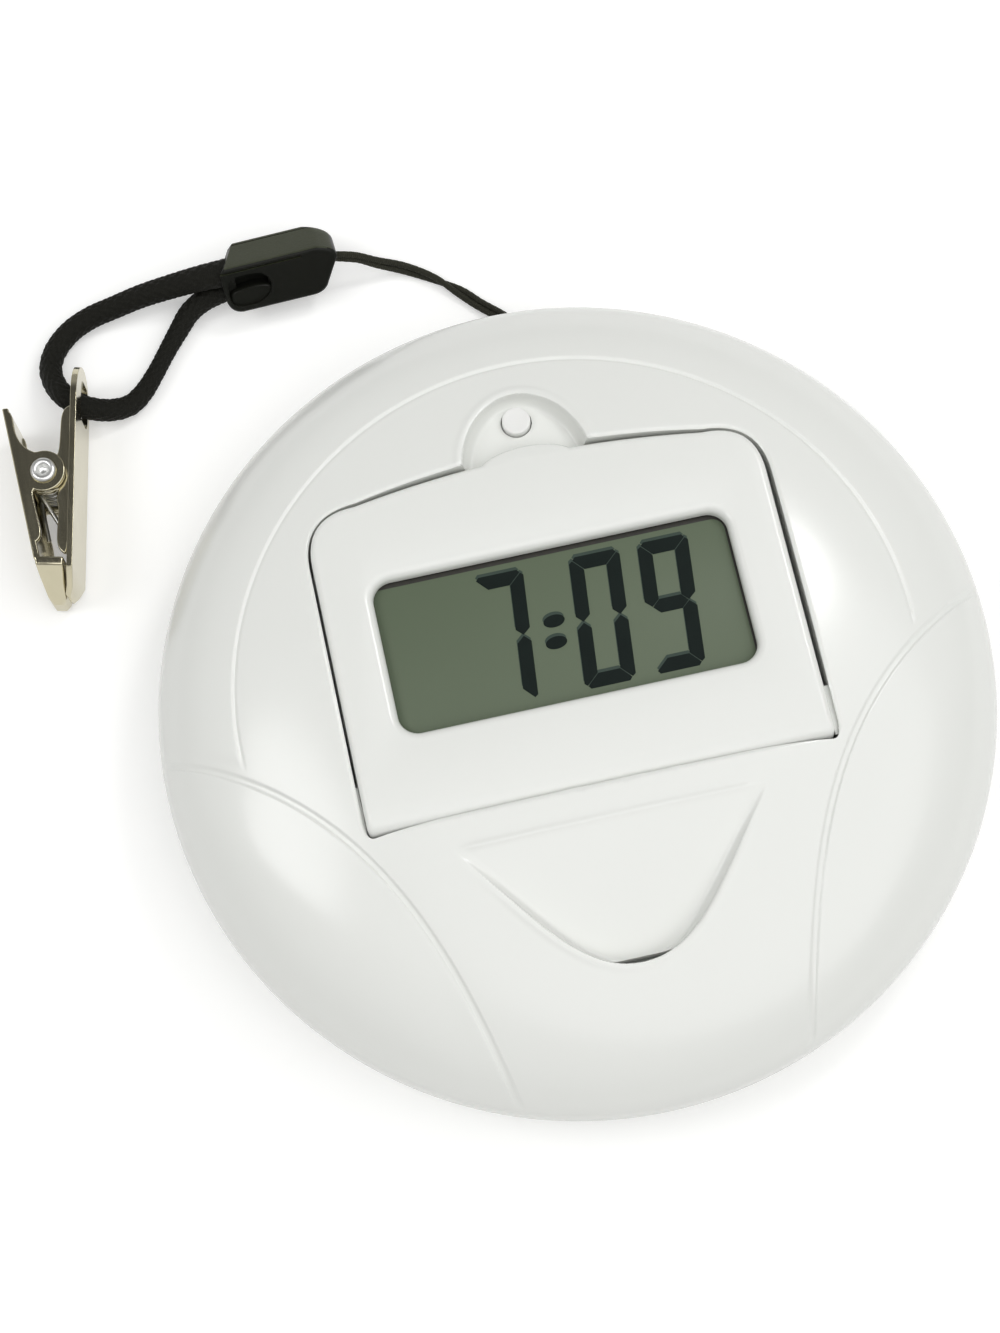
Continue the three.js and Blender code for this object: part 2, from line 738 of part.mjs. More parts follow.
function makeButtons() {
  const foot = switchTop + fit;
  const flangeTop = wellUnder - fit;
  for (const [name, x, y] of buttonPlaces()) {
    const cap = rod(x, y, flangeTop - flangeThickness, wellFloor + buttonRise, buttonRadius);
    const flange = rod(x, y, flangeTop - flangeThickness, flangeTop, buttonRadius + flangeWidth);
    const stem = rod(x, y, foot + buttonTravel, flangeTop, stemRadius, 12);
    piece(name, cap.add(flange).add(stem), material(0xd9dad5, 0.4));
  }
  const testTop = recessFloor - innerWall - fit;
  const testUnder = testTop - flangeThickness;
  const cap = rod(0, testButtonY, testUnder, recessFloor + testButtonRise, testButtonRadius);
  const flange = rod(0, testButtonY, testUnder, testTop, testButtonRadius + flangeWidth);
  const stem = rod(0, testButtonY, foot + testTravel, testTop, stemRadius, 12);
  piece('test_button', cap.add(flange).add(stem), material(0xeceded, 0.3));

  const plateHalf = knobWidth / 2 + knobTravel + flangeWidth + knobTravel;
  const plateDepth = knobDepth / 2 + flangeWidth;
  const [y0, y1] = [knobY - plateDepth, knobY + plateDepth];
  const plate = block(-plateHalf, plateHalf, y0, y1, flangeTop - flangeThickness, flangeTop);
  const grip = block(-knobWidth / 2, knobWidth / 2, knobY - knobDepth / 2, knobY + knobDepth / 2,
    flangeTop - flangeThickness, wellFloor + buttonRise);
  piece('mode_knob', plate.add(grip), material(0x3a3b38, 0.5));
}

// Boards, switches, chip, sounder

function makeElectronics() {
  const board = block(-boardHalfWidth, boardHalfWidth, boardFront, boardBack, boardUnder, boardTop);
  piece('main_board', board, boardGreen());
  const seat = boardTop + fit;
  const half = switchWidth / 2;
  const places = buttonPlaces().concat([['test', 0, testButtonY]]);
  places.forEach(([, x, y], i) => {
    const body = block(x - half, x + half, y - half, y + half, seat, switchTop - 2 * fit);
    const plunger = rod(x, y, seat, switchTop, stemRadius, 12);
    piece(`tact_switch_${i + 1}`, body.add(plunger), blackPart());
  });
  const slide = slideSwitchWidth / 2;
  const slideDepth = slideSwitchDepth / 2;
  const knobUnder = wellUnder - fit - flangeThickness;
  piece('slide_switch', block(-slide, slide, knobY - slideDepth, knobY + slideDepth, seat, knobUnder - fit),
    steel());
  const chip = chipWidth / 2;
  const chipX = slide + chipWidth;
  piece('clock_chip', block(chipX - chip, chipX + chip, knobY - chip, knobY + chip, seat, seat + chipHeight),
    blackPart());
  const [crystalFront, crystalBack] = [knobY - crystalLength / 2, knobY + crystalLength / 2];
  const crystal = rodAlongY(crystalFront, crystalBack, -chipX, seat + crystalRadius, crystalRadius, 12);
  piece('crystal', crystal, steel());
  const sounderZ = bayRoof + bayWall + fit;
  const sounderY = bayRear - sounderRadius;
  const disc = rod(0, sounderY, sounderZ, sounderZ + sounderHeight, sounderRadius, 24);
  const mouthZ = sounderZ + sounderHeight / 2;
  const mouth = rod(0, sounderY, mouthZ, mouthZ + sounderHeight, sounderRadius / 4, 12);
  piece('sounder', disc.subtract(mouth), blackPart());
}

// Shaker motor with its off-centre weight

function makeMotor() {
  const canBack = (motorLength + shaftReach) / 2;
  const canFront = canBack - motorLength;
  const shaftEnd = canFront + shaftReach;
  const bearing = rodAlongY(canFront - overcut, shaftEnd, motorX, motorAxisZ, shaftRadius + fit, 12);
  const can = rodAlongY(canFront, canBack, motorX, motorAxisZ, motorRadius, 24);
  piece('motor_can', can.subtract(bearing), steel());
  const shaft = rodAlongY(canFront - shaftReach, shaftEnd - fit, motorX, motorAxisZ, shaftRadius, 12);
  piece('motor_shaft', shaft, steel());
  const weightBack = canFront - 2 * shaftRadius;
  const disc = rodAlongY(weightBack - weightThickness, weightBack, motorX, motorAxisZ, weightRadius, 24);
  const [cutFront, cutBack] = [weightBack - weightThickness - overcut, weightBack + overcut];
  const upper = block(motorX - weightRadius, motorX + weightRadius, cutFront, cutBack,
    motorAxisZ + shaftRadius + 2 * fit, motorAxisZ + weightRadius);
  const bore = rodAlongY(cutFront, cutBack, motorX, motorAxisZ, shaftRadius + fit, 12);
  piece('eccentric_weight', disc.subtract(upper).subtract(bore), material(0x9a958a, 0.4, 1));
  const middle = (canFront + canBack) / 2;
  const saddle = block(motorX - motorRadius, motorX + motorRadius, middle - bracketLength / 2,
    middle + bracketLength / 2, 0, motorAxisZ - motorRadius / 4);
  const nest = rodAlongY(canFront - overcut, canBack + overcut, motorX, motorAxisZ, motorRadius + fit, 32);
  piece('motor_bracket', saddle.intersect(cavity).subtract(nest), blackPart());
}

// Cells with their contacts

function makeCells() {
  const wallX = bayHalf - fit;
  const plateX = wallX - contactThickness;
  const low = cellZ - cellRadius / 2;
  const high = cellZ + cellRadius / 2;
  cellRows.forEach((y, i) => {
    const way = i === 0 ? 1 : -1;
    const body = rodAlongX(-cellLength / 2, cellLength / 2 - cellNubLength, 0, 0, cellRadius);
    const nub = rodAlongX(0, cellLength / 2, 0, 0, cellNubRadius, 12);
    const cell = body.add(nub).rotate([0, 0, way > 0 ? 0 : 180]).translate([way * cellShift, y, cellZ]);
    piece(`cell_${i + 1}`, cell, material(0x2f5d8c, 0.35, 0.4));
    const rise = contactSpringLength - 2 * fit - 2 * contactWireRadius;
    const turns = helix(contactSpringRadius, rise, contactTurns);
    const start = plateX - fit - contactWireRadius;
    const points = turns.map(([a, b, c]) => [-way * (start - c), y + a, cellZ + b]);
    piece(`contact_spring_${i + 1}`, wire(points, contactWireRadius), steel());
    printSelfGap(`contact_spring_${i + 1}`, points, contactWireRadius, 3);
  });
  const half = cellRadius - 2 * fit;
  const plate = (y0, y1, way) => (way > 0
    ? block(plateX, wallX, y0, y1, low, high)
    : block(-wallX, -plateX, y0, y1, low, high));
  piece('positive_contact', plate(cellRows[0] - half, cellRows[0] + half, 1), steel());
  piece('negative_contact', plate(cellRows[1] - half, cellRows[1] + half, 1), steel());
  piece('bridge_contact', plate(cellRows[1] - half, cellRows[0] + half, -1), steel());
}

makeLid();
makeHinge();
makeButtons();
makeElectronics();
makeMotor();
makeCells();

// Thin cord: a loop round the strap pin, both ends in the strap joiner's tip

const thinCordRoute = [
  [-16.7, 66.9, 5.4],
  [-14.2, 66.7, 4.6],
  [-11.2, 66.3, 2.6],
  [-8.0, 64.7, 0.9],
  [-4.2, 61.4, 0.8],
  [-0.4, 58.1, 0.8],
  [2.6, 55.0, 1.6],
  [3.4, 52.2, 3.6],
  [3.1, 49.4, 5.3],
  [2.85, 47.4, 5.8],
  [2.8, 45.4, 5.8],
  [3.4, 44.0, 5.8],
  [4.8, 43.4, 5.8],
  [6.2, 44.0, 5.8],
  [6.8, 45.4, 5.8],
  [6.75, 47.4, 5.8],
  [6.4, 49.4, 5.3],
  [5.2, 52.2, 3.6],
  [3.8, 55.9, 1.6],
  [0.6, 59.2, 0.8],
  [-3.1, 62.5, 0.8],
  [-7.0, 66.0, 0.9],
  [-10.8, 67.9, 2.6],
  [-14.0, 68.1, 4.6],
  [-16.7, 68.1, 5.4],
];

// Braided loop: out of the joiner's back end, through the clip's slot and back again

const braidRoute = [
  [-32.6, 67.0, 7.0],
  [-36.0, 67.4, 6.2],
  [-41.2, 66.8, 4.0],
  [-46.2, 65.7, 2.5],
  [-50.4, 64.3, 2.1],
  [-54.2, 61.6, 2.1],
  [-56.2, 58.6, 2.5],
  [-56.1, 56.0, 3.6],
  [-54.7, 54.3, 4.6],
  [-52.6, 53.3, 4.6],
  [-50.2, 52.6, 3.4],
  [-47.4, 52.7, 2.3],
  [-44.9, 54.2, 2.1],
  [-42.6, 56.7, 2.1],
  [-39.4, 60.4, 2.1],
  [-36.6, 63.3, 2.2],
  [-34.4, 64.7, 2.7],
  [-32.6, 65.0, 3.0],
];

function makeCords() {
  piece('thin_cord', tube(thinCordRoute, thinCordRadius, 60), blackPart());
  piece('braided_loop', tube(braidRoute, braidRadius, 34, 10), blackPart());
}

// Strap joiner: a body over an insert, in a group whose x axis runs along the strap

function makeJoiner() {
  const [length, width, height] = [joinerLength / 2, joinerWidth / 2, joinerHeight / 2];
  const split = width - width / 4;
  const side = new THREE.Shape();
  side.moveTo(-length, -height + joinerTaperDepth);
  side.lineTo(-length + joinerTaper, -height);
  side.lineTo(length - joinerNose, -height);
  side.quadraticCurveTo(length, -height, length, -height + joinerNose);
  side.lineTo(length, height - joinerNose);
  side.quadraticCurveTo(length, height, length - joinerNose, height);
  side.lineTo(-length + joinerTaper, height);
  side.lineTo(-length, height - joinerTaperDepth);
  const slab = (y0, y1) => {
    const geometry = new THREE.ExtrudeGeometry(side, {
      depth: y1 - y0,
      bevelEnabled: false,
      curveSegments: 4,
    });
    geometry.rotateX(Math.PI / 2);
    geometry.translate(0, y1, 0);
    return solid(geometry);
  };
  const notch = rodAlongY(-width - overcut, -width + notchDepth, -length + notchInset, 0, notchRadius);
  piece('joiner_body', slab(-width, split - fit).subtract(notch), blackPlastic(), joiner);
  piece('joiner_cover', slab(split, width), blackPlastic(), joiner);
}

// Spring clip, lying on its side: the rivet stands upright at the group's origin

function earOutline(points, lobeFrom, lobeTo, clockwise) {
  const shape = polygon(points);
  shape.absarc(0, 0, earLobe, lobeFrom, lobeTo, clockwise);
  const hole = new THREE.Path();
  hole.absarc(0, 0, rivetRadius + fit, 0, 2 * Math.PI);
  shape.holes.push(hole);
  return shape;
}

// A side view, drawn along the clip and up it, pulled right across the clip.
function fromSide(shape) {
  const geometry = new THREE.ExtrudeGeometry(shape, {
    depth: 2 * clipWidth,
    bevelEnabled: false,
    curveSegments: 6,
  });
  geometry.translate(0, 0, -clipWidth);
  geometry.rotateX(Math.PI / 2);
  geometry.rotateZ(Math.PI / 2);
  return solid(geometry);
}

function makeClip() {
  const top = clipWidth;
  const innerLow = sheet + fit;
  const innerHigh = top - sheet - fit;

  const middle = clipWidth / 2;
  const sideView = new THREE.Shape();
  sideView.moveTo(clipTip, middle - clipTipHalfWidth);
  sideView.lineTo(clipShoulder, 0);
  sideView.lineTo(clipRear, 0);
  sideView.absarc(clipRear, middle, middle, -Math.PI / 2, Math.PI / 2);
  sideView.lineTo(clipShoulder, top);
  sideView.lineTo(clipTip, middle + clipTipHalfWidth);
  sideView.holes.push(roundedRectangle(clipSlot, clipSlot, clipSlotCorner, ...clipSlotPlace));
  const silhouette = fromSide(sideView);
  const strip = polygon([
    [2.5, 16], [2.5 + sheet, 16], [4.2, -12.6], [2.9, -16], [2.2, -15.4], [4.2 - sheet, -12.4],
  ]);
  const longPlate = prism(strip, 0, top).intersect(silhouette);
  const longEar = earOutline([
    [1.6, -3.4], [2, -4.4], [2, -8.7], [2.4, -10], [3.6, -10.8], [3.3, 4.5], [3, 9.6], [1.5, 8.4], [1.6, 3.6],
  ], Math.PI / 3, 1.75 * Math.PI, false);
  const lowEar = prism(longEar, innerLow, innerLow + sheet, 5);
  const highEar = prism(longEar, innerHigh - sheet, innerHigh, 5);
  piece('clip_long_jaw', longPlate.add(lowEar).add(highEar), nickel(), clip);

  const shortEar = earOutline([
    [-1, -3.6], [-0.7, -4.7], [0.2, -7.8], [0.2, -8.8], [-0.7, -9.8], [-5.7, 8.1], [-4.3, 7.4], [-3.9, 5.8],
    [-3.2, 3.7],
  ], 0.65 * Math.PI, -0.65 * Math.PI, true);
  const shortEars = prism(shortEar, 0, sheet, 5).add(prism(shortEar, top - sheet, top, 5));
  const lever = polygon([[-5.8, 8.2], [-0.5, -11.6], [0.35, -11.6], [-5, 8.3]]);
  const nose = polygon([[-0.5, -11.2], [0.6, -13.4], [1.1, -15.2], [1.6, -15.4], [2.4, -12.3], [2.2, -11.2]]);
  const slope = polygon([[-11, 0], [-11, top], [-12.3, top], [-15.4, 0.3 * top], [-15.4, 0]]);
  const shortBody = prism(lever, 0, top).add(prism(nose, 0, top).intersect(fromSide(slope)));
  piece('clip_short_jaw', shortEars.add(shortBody), nickel(), clip);

  const rim = rivetRimThickness;
  const rivet = new THREE.LatheGeometry([
    [rivetBore, -fit - rim], [rivetRim, -fit - rim], [rivetRim, -fit], [rivetRadius, -fit],
    [rivetRadius, top + fit], [rivetRim, top + fit],
    [rivetRim, top + fit + rim], [rivetBore, top + fit + rim],
    [rivetBore, -fit - rim],
  ].map(([r, z]) => new THREE.Vector2(r, z)), 16);
  rivet.rotateX(Math.PI / 2);
  piece('clip_rivet', solid(rivet), nickel(), clip);

  const bottom = (clipWidth - clipSpringHeight) / 2;
  const coil = helix(clipSpringRadius, clipSpringHeight, clipTurns, Math.PI);
  const lifted = coil.map(([x, y, z]) => [x, y, z + bottom]);
  const points = [[-0.1, -7, bottom], ...lifted, [2.5, -7, bottom + clipSpringHeight]];
  piece('clip_spring', wire(points, clipWireRadius), steel(), clip);
  printSelfGap('clip_spring', points, clipWireRadius, 3);
}

makeCords();
makeJoiner();
makeClip();

export default clock;
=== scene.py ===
# %% [markdown]
# # A vibrating alarm clock, dressed in Blender
# The clock is a white saucer with a flip-up display, a shaker motor inside, and a wrist loop that ends in a
# spring clip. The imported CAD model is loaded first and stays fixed. Every new piece is modelled in the same
# frame and rides on one of its bodies, so it moves when the lid, the keys or the clip move.

# %% Load the frame
import math

import bpy
import numpy as np
from mathutils import Matrix, Vector


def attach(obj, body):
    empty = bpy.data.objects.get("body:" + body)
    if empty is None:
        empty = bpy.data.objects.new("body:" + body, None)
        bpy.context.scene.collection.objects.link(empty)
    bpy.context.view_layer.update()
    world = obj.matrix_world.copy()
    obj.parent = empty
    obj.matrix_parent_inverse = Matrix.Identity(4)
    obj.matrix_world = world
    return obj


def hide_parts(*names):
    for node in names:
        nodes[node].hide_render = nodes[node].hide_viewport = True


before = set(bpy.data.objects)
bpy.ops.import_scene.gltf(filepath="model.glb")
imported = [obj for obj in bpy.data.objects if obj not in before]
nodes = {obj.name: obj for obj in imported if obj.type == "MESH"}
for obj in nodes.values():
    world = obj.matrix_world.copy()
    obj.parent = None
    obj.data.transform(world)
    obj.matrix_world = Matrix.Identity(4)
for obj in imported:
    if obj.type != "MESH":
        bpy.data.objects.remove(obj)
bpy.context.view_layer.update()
scene = bpy.context.scene
mm = 0.001

# %% [markdown]
# ## Camera
# The photograph was taken from above and a little to the left of the front. Its angles, distance and focal
# length come from fitting the round rim, the display window and the button to where they lie in the picture.
# A camera can be aimed with a constraint, but a matrix made of its own right, up and back directions is exact
# and leaves nothing live in the file.

# %% Camera
photo_height = 1333
focal_pixels = 2793
camera_distance = 340.45 * mm
camera_elevation = math.radians(74.34)
camera_azimuth = math.radians(-7.77)
camera_roll = math.radians(-4.75)
aim_right_pixels = 76.25
aim_down_pixels = 33.0
rim_height = 10 * mm
sensor_size = 36

back = Vector((
    math.sin(camera_azimuth) * math.cos(camera_elevation),
    -math.cos(camera_azimuth) * math.cos(camera_elevation),
    math.sin(camera_elevation),
))
level = Vector((math.cos(camera_azimuth), math.sin(camera_azimuth), 0))
upright = back.cross(level)
right = math.cos(camera_roll) * level + math.sin(camera_roll) * upright
up = -math.sin(camera_roll) * level + math.cos(camera_roll) * upright
metres_per_pixel = camera_distance / focal_pixels
eye = Vector((0, 0, rim_height)) + back * camera_distance
eye += up * (aim_down_pixels * metres_per_pixel) - right * (aim_right_pixels * metres_per_pixel)

bpy.ops.object.select_all(action="DESELECT")
bpy.ops.object.camera_add()
camera = bpy.context.object
camera.name = "photo_camera"
camera.matrix_world = Matrix((
    (right.x, up.x, back.x, eye.x),
    (right.y, up.y, back.y, eye.y),
    (right.z, up.z, back.z, eye.z),
    (0, 0, 0, 1),
))
camera.data.sensor_width = sensor_size
camera.data.lens = focal_pixels / photo_height * sensor_size
scene.camera = camera
print("camera at", [round(v / mm, 1) for v in eye], "mm, lens", round(camera.data.lens, 1), "mm")

# %% [markdown]
# ## Small helpers for modelling
# Blender's operators act on whatever is selected, so each piece starts from an empty selection. Most pieces
# here start as a ring of points laid along an outline, which is then extruded from level to level.

# %% Helpers for selection, modifiers and finish


def deselect():
    if bpy.context.object and bpy.context.object.mode != "OBJECT":
        bpy.ops.object.mode_set(mode="OBJECT")
    bpy.ops.object.select_all(action="DESELECT")


def activate(piece):
    deselect()
    piece.select_set(True)
    bpy.context.view_layer.objects.active = piece


def edit(piece, kind="VERT"):
    activate(piece)
    scene.tool_settings.mesh_select_mode = (kind == "VERT", kind == "EDGE", kind == "FACE")
    bpy.ops.object.mode_set(mode="EDIT")


def leave_edit():
    bpy.ops.object.mode_set(mode="OBJECT")


def named(name):
    piece = bpy.context.object
    piece.name = name
    piece.data.name = name
    return piece


def modify(piece, kind, **settings):
    activate(piece)
    modifier = piece.modifiers.new(kind.lower(), kind)
    for key, value in settings.items():
        setattr(modifier, key, value)
    bpy.ops.object.modifier_apply(modifier=modifier.name)


def cut(piece, cutter, operation="DIFFERENCE"):
    before = len(piece.data.vertices), len(piece.data.polygons)
    modify(piece, "BOOLEAN", object=cutter, operation=operation, solver="MANIFOLD")
    if before == (len(piece.data.vertices), len(piece.data.polygons)):
        print(cutter.name, "left", piece.name, "as it was")
    bpy.data.objects.remove(cutter)


def clean(piece, near=0.002 * mm):
    edit(piece)
    bpy.ops.mesh.select_all(action="SELECT")
    bpy.ops.mesh.remove_doubles(threshold=near)
    bpy.ops.mesh.normals_make_consistent(inside=False)
    leave_edit()


def smooth(piece, degrees=35):
    activate(piece)
    bpy.ops.object.shade_smooth_by_angle(angle=math.radians(degrees))


def bevel(piece, width, degrees, segments=2):
    """Rounds every edge sharper than an angle, by a width in millimetres."""
    modify(piece, "BEVEL", width=width * mm, segments=segments, limit_method="ANGLE",
           angle_limit=math.radians(degrees))


def flatten(piece):
    """Keeps large flat faces flat in the shading, so that only the bevels between them look round."""
    modify(piece, "WEIGHTED_NORMAL", keep_sharp=True)


def places_of(mesh, kind):
    """Places of the vertices or face centres, in mm."""
    items, field = {"VERT": (mesh.vertices, "co"), "FACE": (mesh.polygons, "center")}[kind]
    places = np.zeros(len(items) * 3)
    items.foreach_get(field, places)
    return places.reshape(-1, 3) / mm


def pick_faces(piece, picked):
    """Starts to edit a piece with the picked faces selected, and nothing else."""
    for items in (piece.data.vertices, piece.data.edges):
        items.foreach_set("select", np.zeros(len(items), bool))
    piece.data.polygons.foreach_set("select", picked)
    edit(piece, "FACE")


def loft(name, levels):
    """A closed solid through outlines of equally many points, from the lowest level to the highest, in mm."""
    outlines = [np.array(points, float) for points in levels]

    def is_top(corners, outline):
        return len(corners) == len(outline) and np.allclose(corners.mean(0), outline.mean(0), atol=1e-3)

    deselect()
    bpy.ops.mesh.primitive_circle_add(vertices=len(outlines[0]), radius=mm, fill_type="NGON")
    piece = named(name)
    piece.data.vertices.foreach_set("co", (outlines[0] * mm).ravel())
    for before, after in zip(outlines, outlines[1:]):
        places = places_of(piece.data, "VERT")
        pick_faces(piece, [is_top(places[list(face.vertices)], before) for face in piece.data.polygons])
        bpy.ops.mesh.extrude_region_move(TRANSFORM_OT_translate={"value": (0, 0, 0)})
        leave_edit()
        for vertex in piece.data.vertices:
            if vertex.select:
                nearest = np.abs(before * mm - np.array(vertex.co)).sum(1).argmin()
                vertex.co = after[nearest] * mm
    clean(piece)
    return piece


def at_height(outline, z):
    return [(x, y, z) for x, y in outline]


def plate(name, outline, low, high):
    return loft(name, [at_height(outline, low), at_height(outline, high)])


def turned(name, profile, steps):
    """A round piece: a chain of points (radius, height) in mm, spun about the upright axis."""
    deselect()
    bpy.ops.mesh.primitive_circle_add(vertices=len(profile), radius=mm)
    piece = named(name)
    places = np.array([(r, 0, z) for r, z in profile]) * mm
    piece.data.vertices.foreach_set("co", places.ravel())
    ends = {0, len(profile) - 1}
    for edge in piece.data.edges:
        edge.select = set(edge.vertices) == ends
    for vertex in piece.data.vertices:
        vertex.select = False
    edit(piece, "EDGE")
    bpy.ops.mesh.delete(type="EDGE")
    bpy.ops.mesh.select_all(action="SELECT")
    bpy.ops.mesh.spin(steps=steps, angle=2 * math.pi, center=(0, 0, 0), axis=(0, 0, 1))
    leave_edit()
    clean(piece)
    return piece


def drum(name, x, y, low, high, radius, sides=48):
    deselect()
    middle = (x * mm, y * mm, (low + high) / 2 * mm)
    depth = (high - low) * mm
    bpy.ops.mesh.primitive_cylinder_add(vertices=sides, radius=radius * mm, depth=depth, location=middle)
    bpy.ops.object.transform_apply(location=True)
    return named(name)


def box_block(name, low, high):
    deselect()
    bpy.ops.mesh.primitive_cube_add(size=1)
    piece = named(name)
    piece.scale = [(b - a) * mm for a, b in zip(low, high)]
    piece.location = [(a + b) / 2 * mm for a, b in zip(low, high)]
    bpy.ops.object.transform_apply(location=True, scale=True)
    return piece


def place(piece, matrix):
    piece.data.transform(matrix)
    return piece


def finished(piece, material, body, node, angle=35):
    """Gives a piece its finish, hangs it on the body it rides on, and hides the CAD node it stands for."""
    piece.data.materials.clear()
    piece.data.materials.append(material)
    smooth(piece, angle)
    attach(piece, body)
    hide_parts(node)


print("helpers ready")

# %% [markdown]
# ## Floor and light
# The photograph is a studio shot on white. The floor is a plain pale sheet that takes a soft shadow, and it
# glows a little towards the camera, and more with distance, so that it reads as white and runs into the
# backdrop without more light on the clock. Two soft boxes make the bright patches left and right of the lid,
# and a wide one overhead fills the rest. The ceiling behind them is dark, which gives the plated clip
# something dark to mirror.

# %% Node helpers


def add_node(tree, kind, **settings):
    made = tree.nodes.new("ShaderNode" + kind)
    for key, value in settings.items():
        if key in made.inputs:
            made.inputs[key].default_value = value
        else:
            setattr(made, key, value)
    return made


def join(tree, source, target):
    tree.links.new(source, target)


def math_node(tree, operation, first, second):
    made = add_node(tree, "Math", operation=operation)
    for socket, value in zip(made.inputs, (first, second)):
        if isinstance(value, (int, float)):
            socket.default_value = value
        else:
            join(tree, value, socket)
    return made.outputs[0]


def soft_range(tree, value, start, end, first, last):
    """A value that goes softly from first to last while another one goes from start to end."""
    limits = {"From Min": start, "From Max": end, "To Min": first, "To Max": last}
    made = add_node(tree, "MapRange", interpolation_type="SMOOTHSTEP", **limits)
    join(tree, value, made.inputs["Value"])
    return made.outputs["Result"]


print("node helpers ready")

# %% Floor
floor_size = 4
floor_colour = (0.8, 0.8, 0.79, 1)
floor_glow, horizon_glow = 0.3, 1.0
glow_from, glow_to = 0.3, 1.1


def seen_directly(tree):
    """A value of 1 for rays from the camera, from gloss and through glass, and 0 for the rest."""
    path = add_node(tree, "LightPath")
    value = path.outputs["Is Camera Ray"]
    for ray in ("Is Glossy Ray", "Is Transmission Ray"):
        value = math_node(tree, "MAXIMUM", value, path.outputs[ray])
    return value


deselect()
bpy.ops.mesh.primitive_plane_add(size=floor_size)
floor = named("floor")

floor_paint = bpy.data.materials.new("pale_floor")
floor_paint.use_nodes = True
floor_tree = floor_paint.node_tree
floor_shader = floor_tree.nodes["Principled BSDF"]
floor_shader.inputs["Base Color"].default_value = floor_colour
floor_shader.inputs["Roughness"].default_value = 0.9
floor_shader.inputs["Specular IOR Level"].default_value = 0
floor_shader.inputs["Emission Color"].default_value = (1, 1, 1, 1)
floor_place = add_node(floor_tree, "TexCoord")
floor_distance = add_node(floor_tree, "VectorMath", operation="LENGTH")
join(floor_tree, floor_place.outputs["Object"], floor_distance.inputs[0])
fade = soft_range(floor_tree, floor_distance.outputs["Value"], glow_from, glow_to, floor_glow, horizon_glow)
glow = math_node(floor_tree, "MULTIPLY", seen_directly(floor_tree), fade)
join(floor_tree, glow, floor_shader.inputs["Emission Strength"])
floor.data.materials.append(floor_paint)
print("floor:", floor_size, "m wide, glowing from", floor_glow, "to", horizon_glow)

# %% Sky
sky_colour = (1, 1, 0.99, 1)
room_level, ceiling_level, backdrop_level = 0.46, 0.1, 1.0
ceiling_towards = Vector((0.1, 0.3, 0.95)).normalized()
ceiling_starts, ceiling_full = 0.72, 0.95

world = bpy.data.worlds.new("studio")
scene.world = world
world.use_nodes = True
sky_tree = world.node_tree
sky = sky_tree.nodes["Background"]
sky.inputs["Color"].default_value = sky_colour
sky_place = add_node(sky_tree, "TexCoord")
facing = add_node(sky_tree, "VectorMath", operation="DOT_PRODUCT")
facing.inputs[1].default_value = ceiling_towards
join(sky_tree, sky_place.outputs["Generated"], facing.inputs[0])
room = soft_range(sky_tree, facing.outputs["Value"], ceiling_starts, ceiling_full, room_level, ceiling_level)
backdrop = add_node(sky_tree, "MapRange", **{"To Max": backdrop_level})
join(sky_tree, add_node(sky_tree, "LightPath").outputs["Is Camera Ray"], backdrop.inputs["Value"])
join(sky_tree, room, backdrop.inputs["To Min"])
join(sky_tree, backdrop.outputs["Result"], sky.inputs["Strength"])
print("sky: room", room_level, "ceiling", ceiling_level, "backdrop", backdrop_level)

# %% Lamps


def soft_box(name, direction, distance, size, watts):
    deselect()
    bpy.ops.object.light_add(type="AREA")
    lamp = bpy.context.object
    lamp.name = name
    towards = Vector(direction).normalized()
    lamp.location = towards * distance
    lamp.rotation_euler = towards.to_track_quat("Z", "Y").to_euler()
    lamp.data.shape = "DISK"
    lamp.data.size = size
    lamp.data.energy = watts


soft_box("right_box", direction=(0.42, 0.325, 0.79), distance=0.46, size=0.085, watts=0.24)
soft_box("left_box", direction=(-0.56, 0.09, 0.82), distance=0.7, size=0.3, watts=0.85)
soft_box("overhead_box", direction=(0.32, -0.22, 1.0), distance=1.2, size=1.7, watts=9.6)
scene.view_settings.view_transform = "Standard"

# %% [markdown]
# ## Shared surface effects
# Three effects are used again and again: the slight unevenness of moulded plastic, the fine lines of drawn or
# polished metal, and the crossing strands of a braid. Each is a node group with its own inputs, so that every
# material sets its own colours and sizes. All three end alike: one pattern mixes the colours, and a second
# one sets the roughness and the height.

# %% Parts of a group
group_inputs = [
    ("Vector", "Vector", None),
    ("Colour A", "Color", (0.8, 0.8, 0.8, 1)),
    ("Colour B", "Color", (0.7, 0.7, 0.7, 1)),
    ("Broad scale", "Float", 40.0),
    ("Fine scale", "Float", 2500.0),
    ("Smoothest", "Float", 0.2),
    ("Roughest", "Float", 0.3),
]
group_outputs = [("Colour", "Color"), ("Roughness", "Float"), ("Height", "Float")]


def new_group(name):
    tree = bpy.data.node_groups.new(name, "ShaderNodeTree")
    for label, kind, value in group_inputs:
        socket = tree.interface.new_socket(label, in_out="INPUT", socket_type="NodeSocket" + kind)
        if value is not None:
            socket.default_value = value
    for label, kind in group_outputs:
        tree.interface.new_socket(label, in_out="OUTPUT", socket_type="NodeSocket" + kind)
    return tree, tree.nodes.new("NodeGroupInput").outputs


def scaled_noise(tree, vector, scale, detail=3.0):
    noise = add_node(tree, "TexNoise", Detail=detail)
    join(tree, vector, noise.inputs["Vector"])
    join(tree, scale, noise.inputs["Scale"])
    return noise.outputs["Fac"]


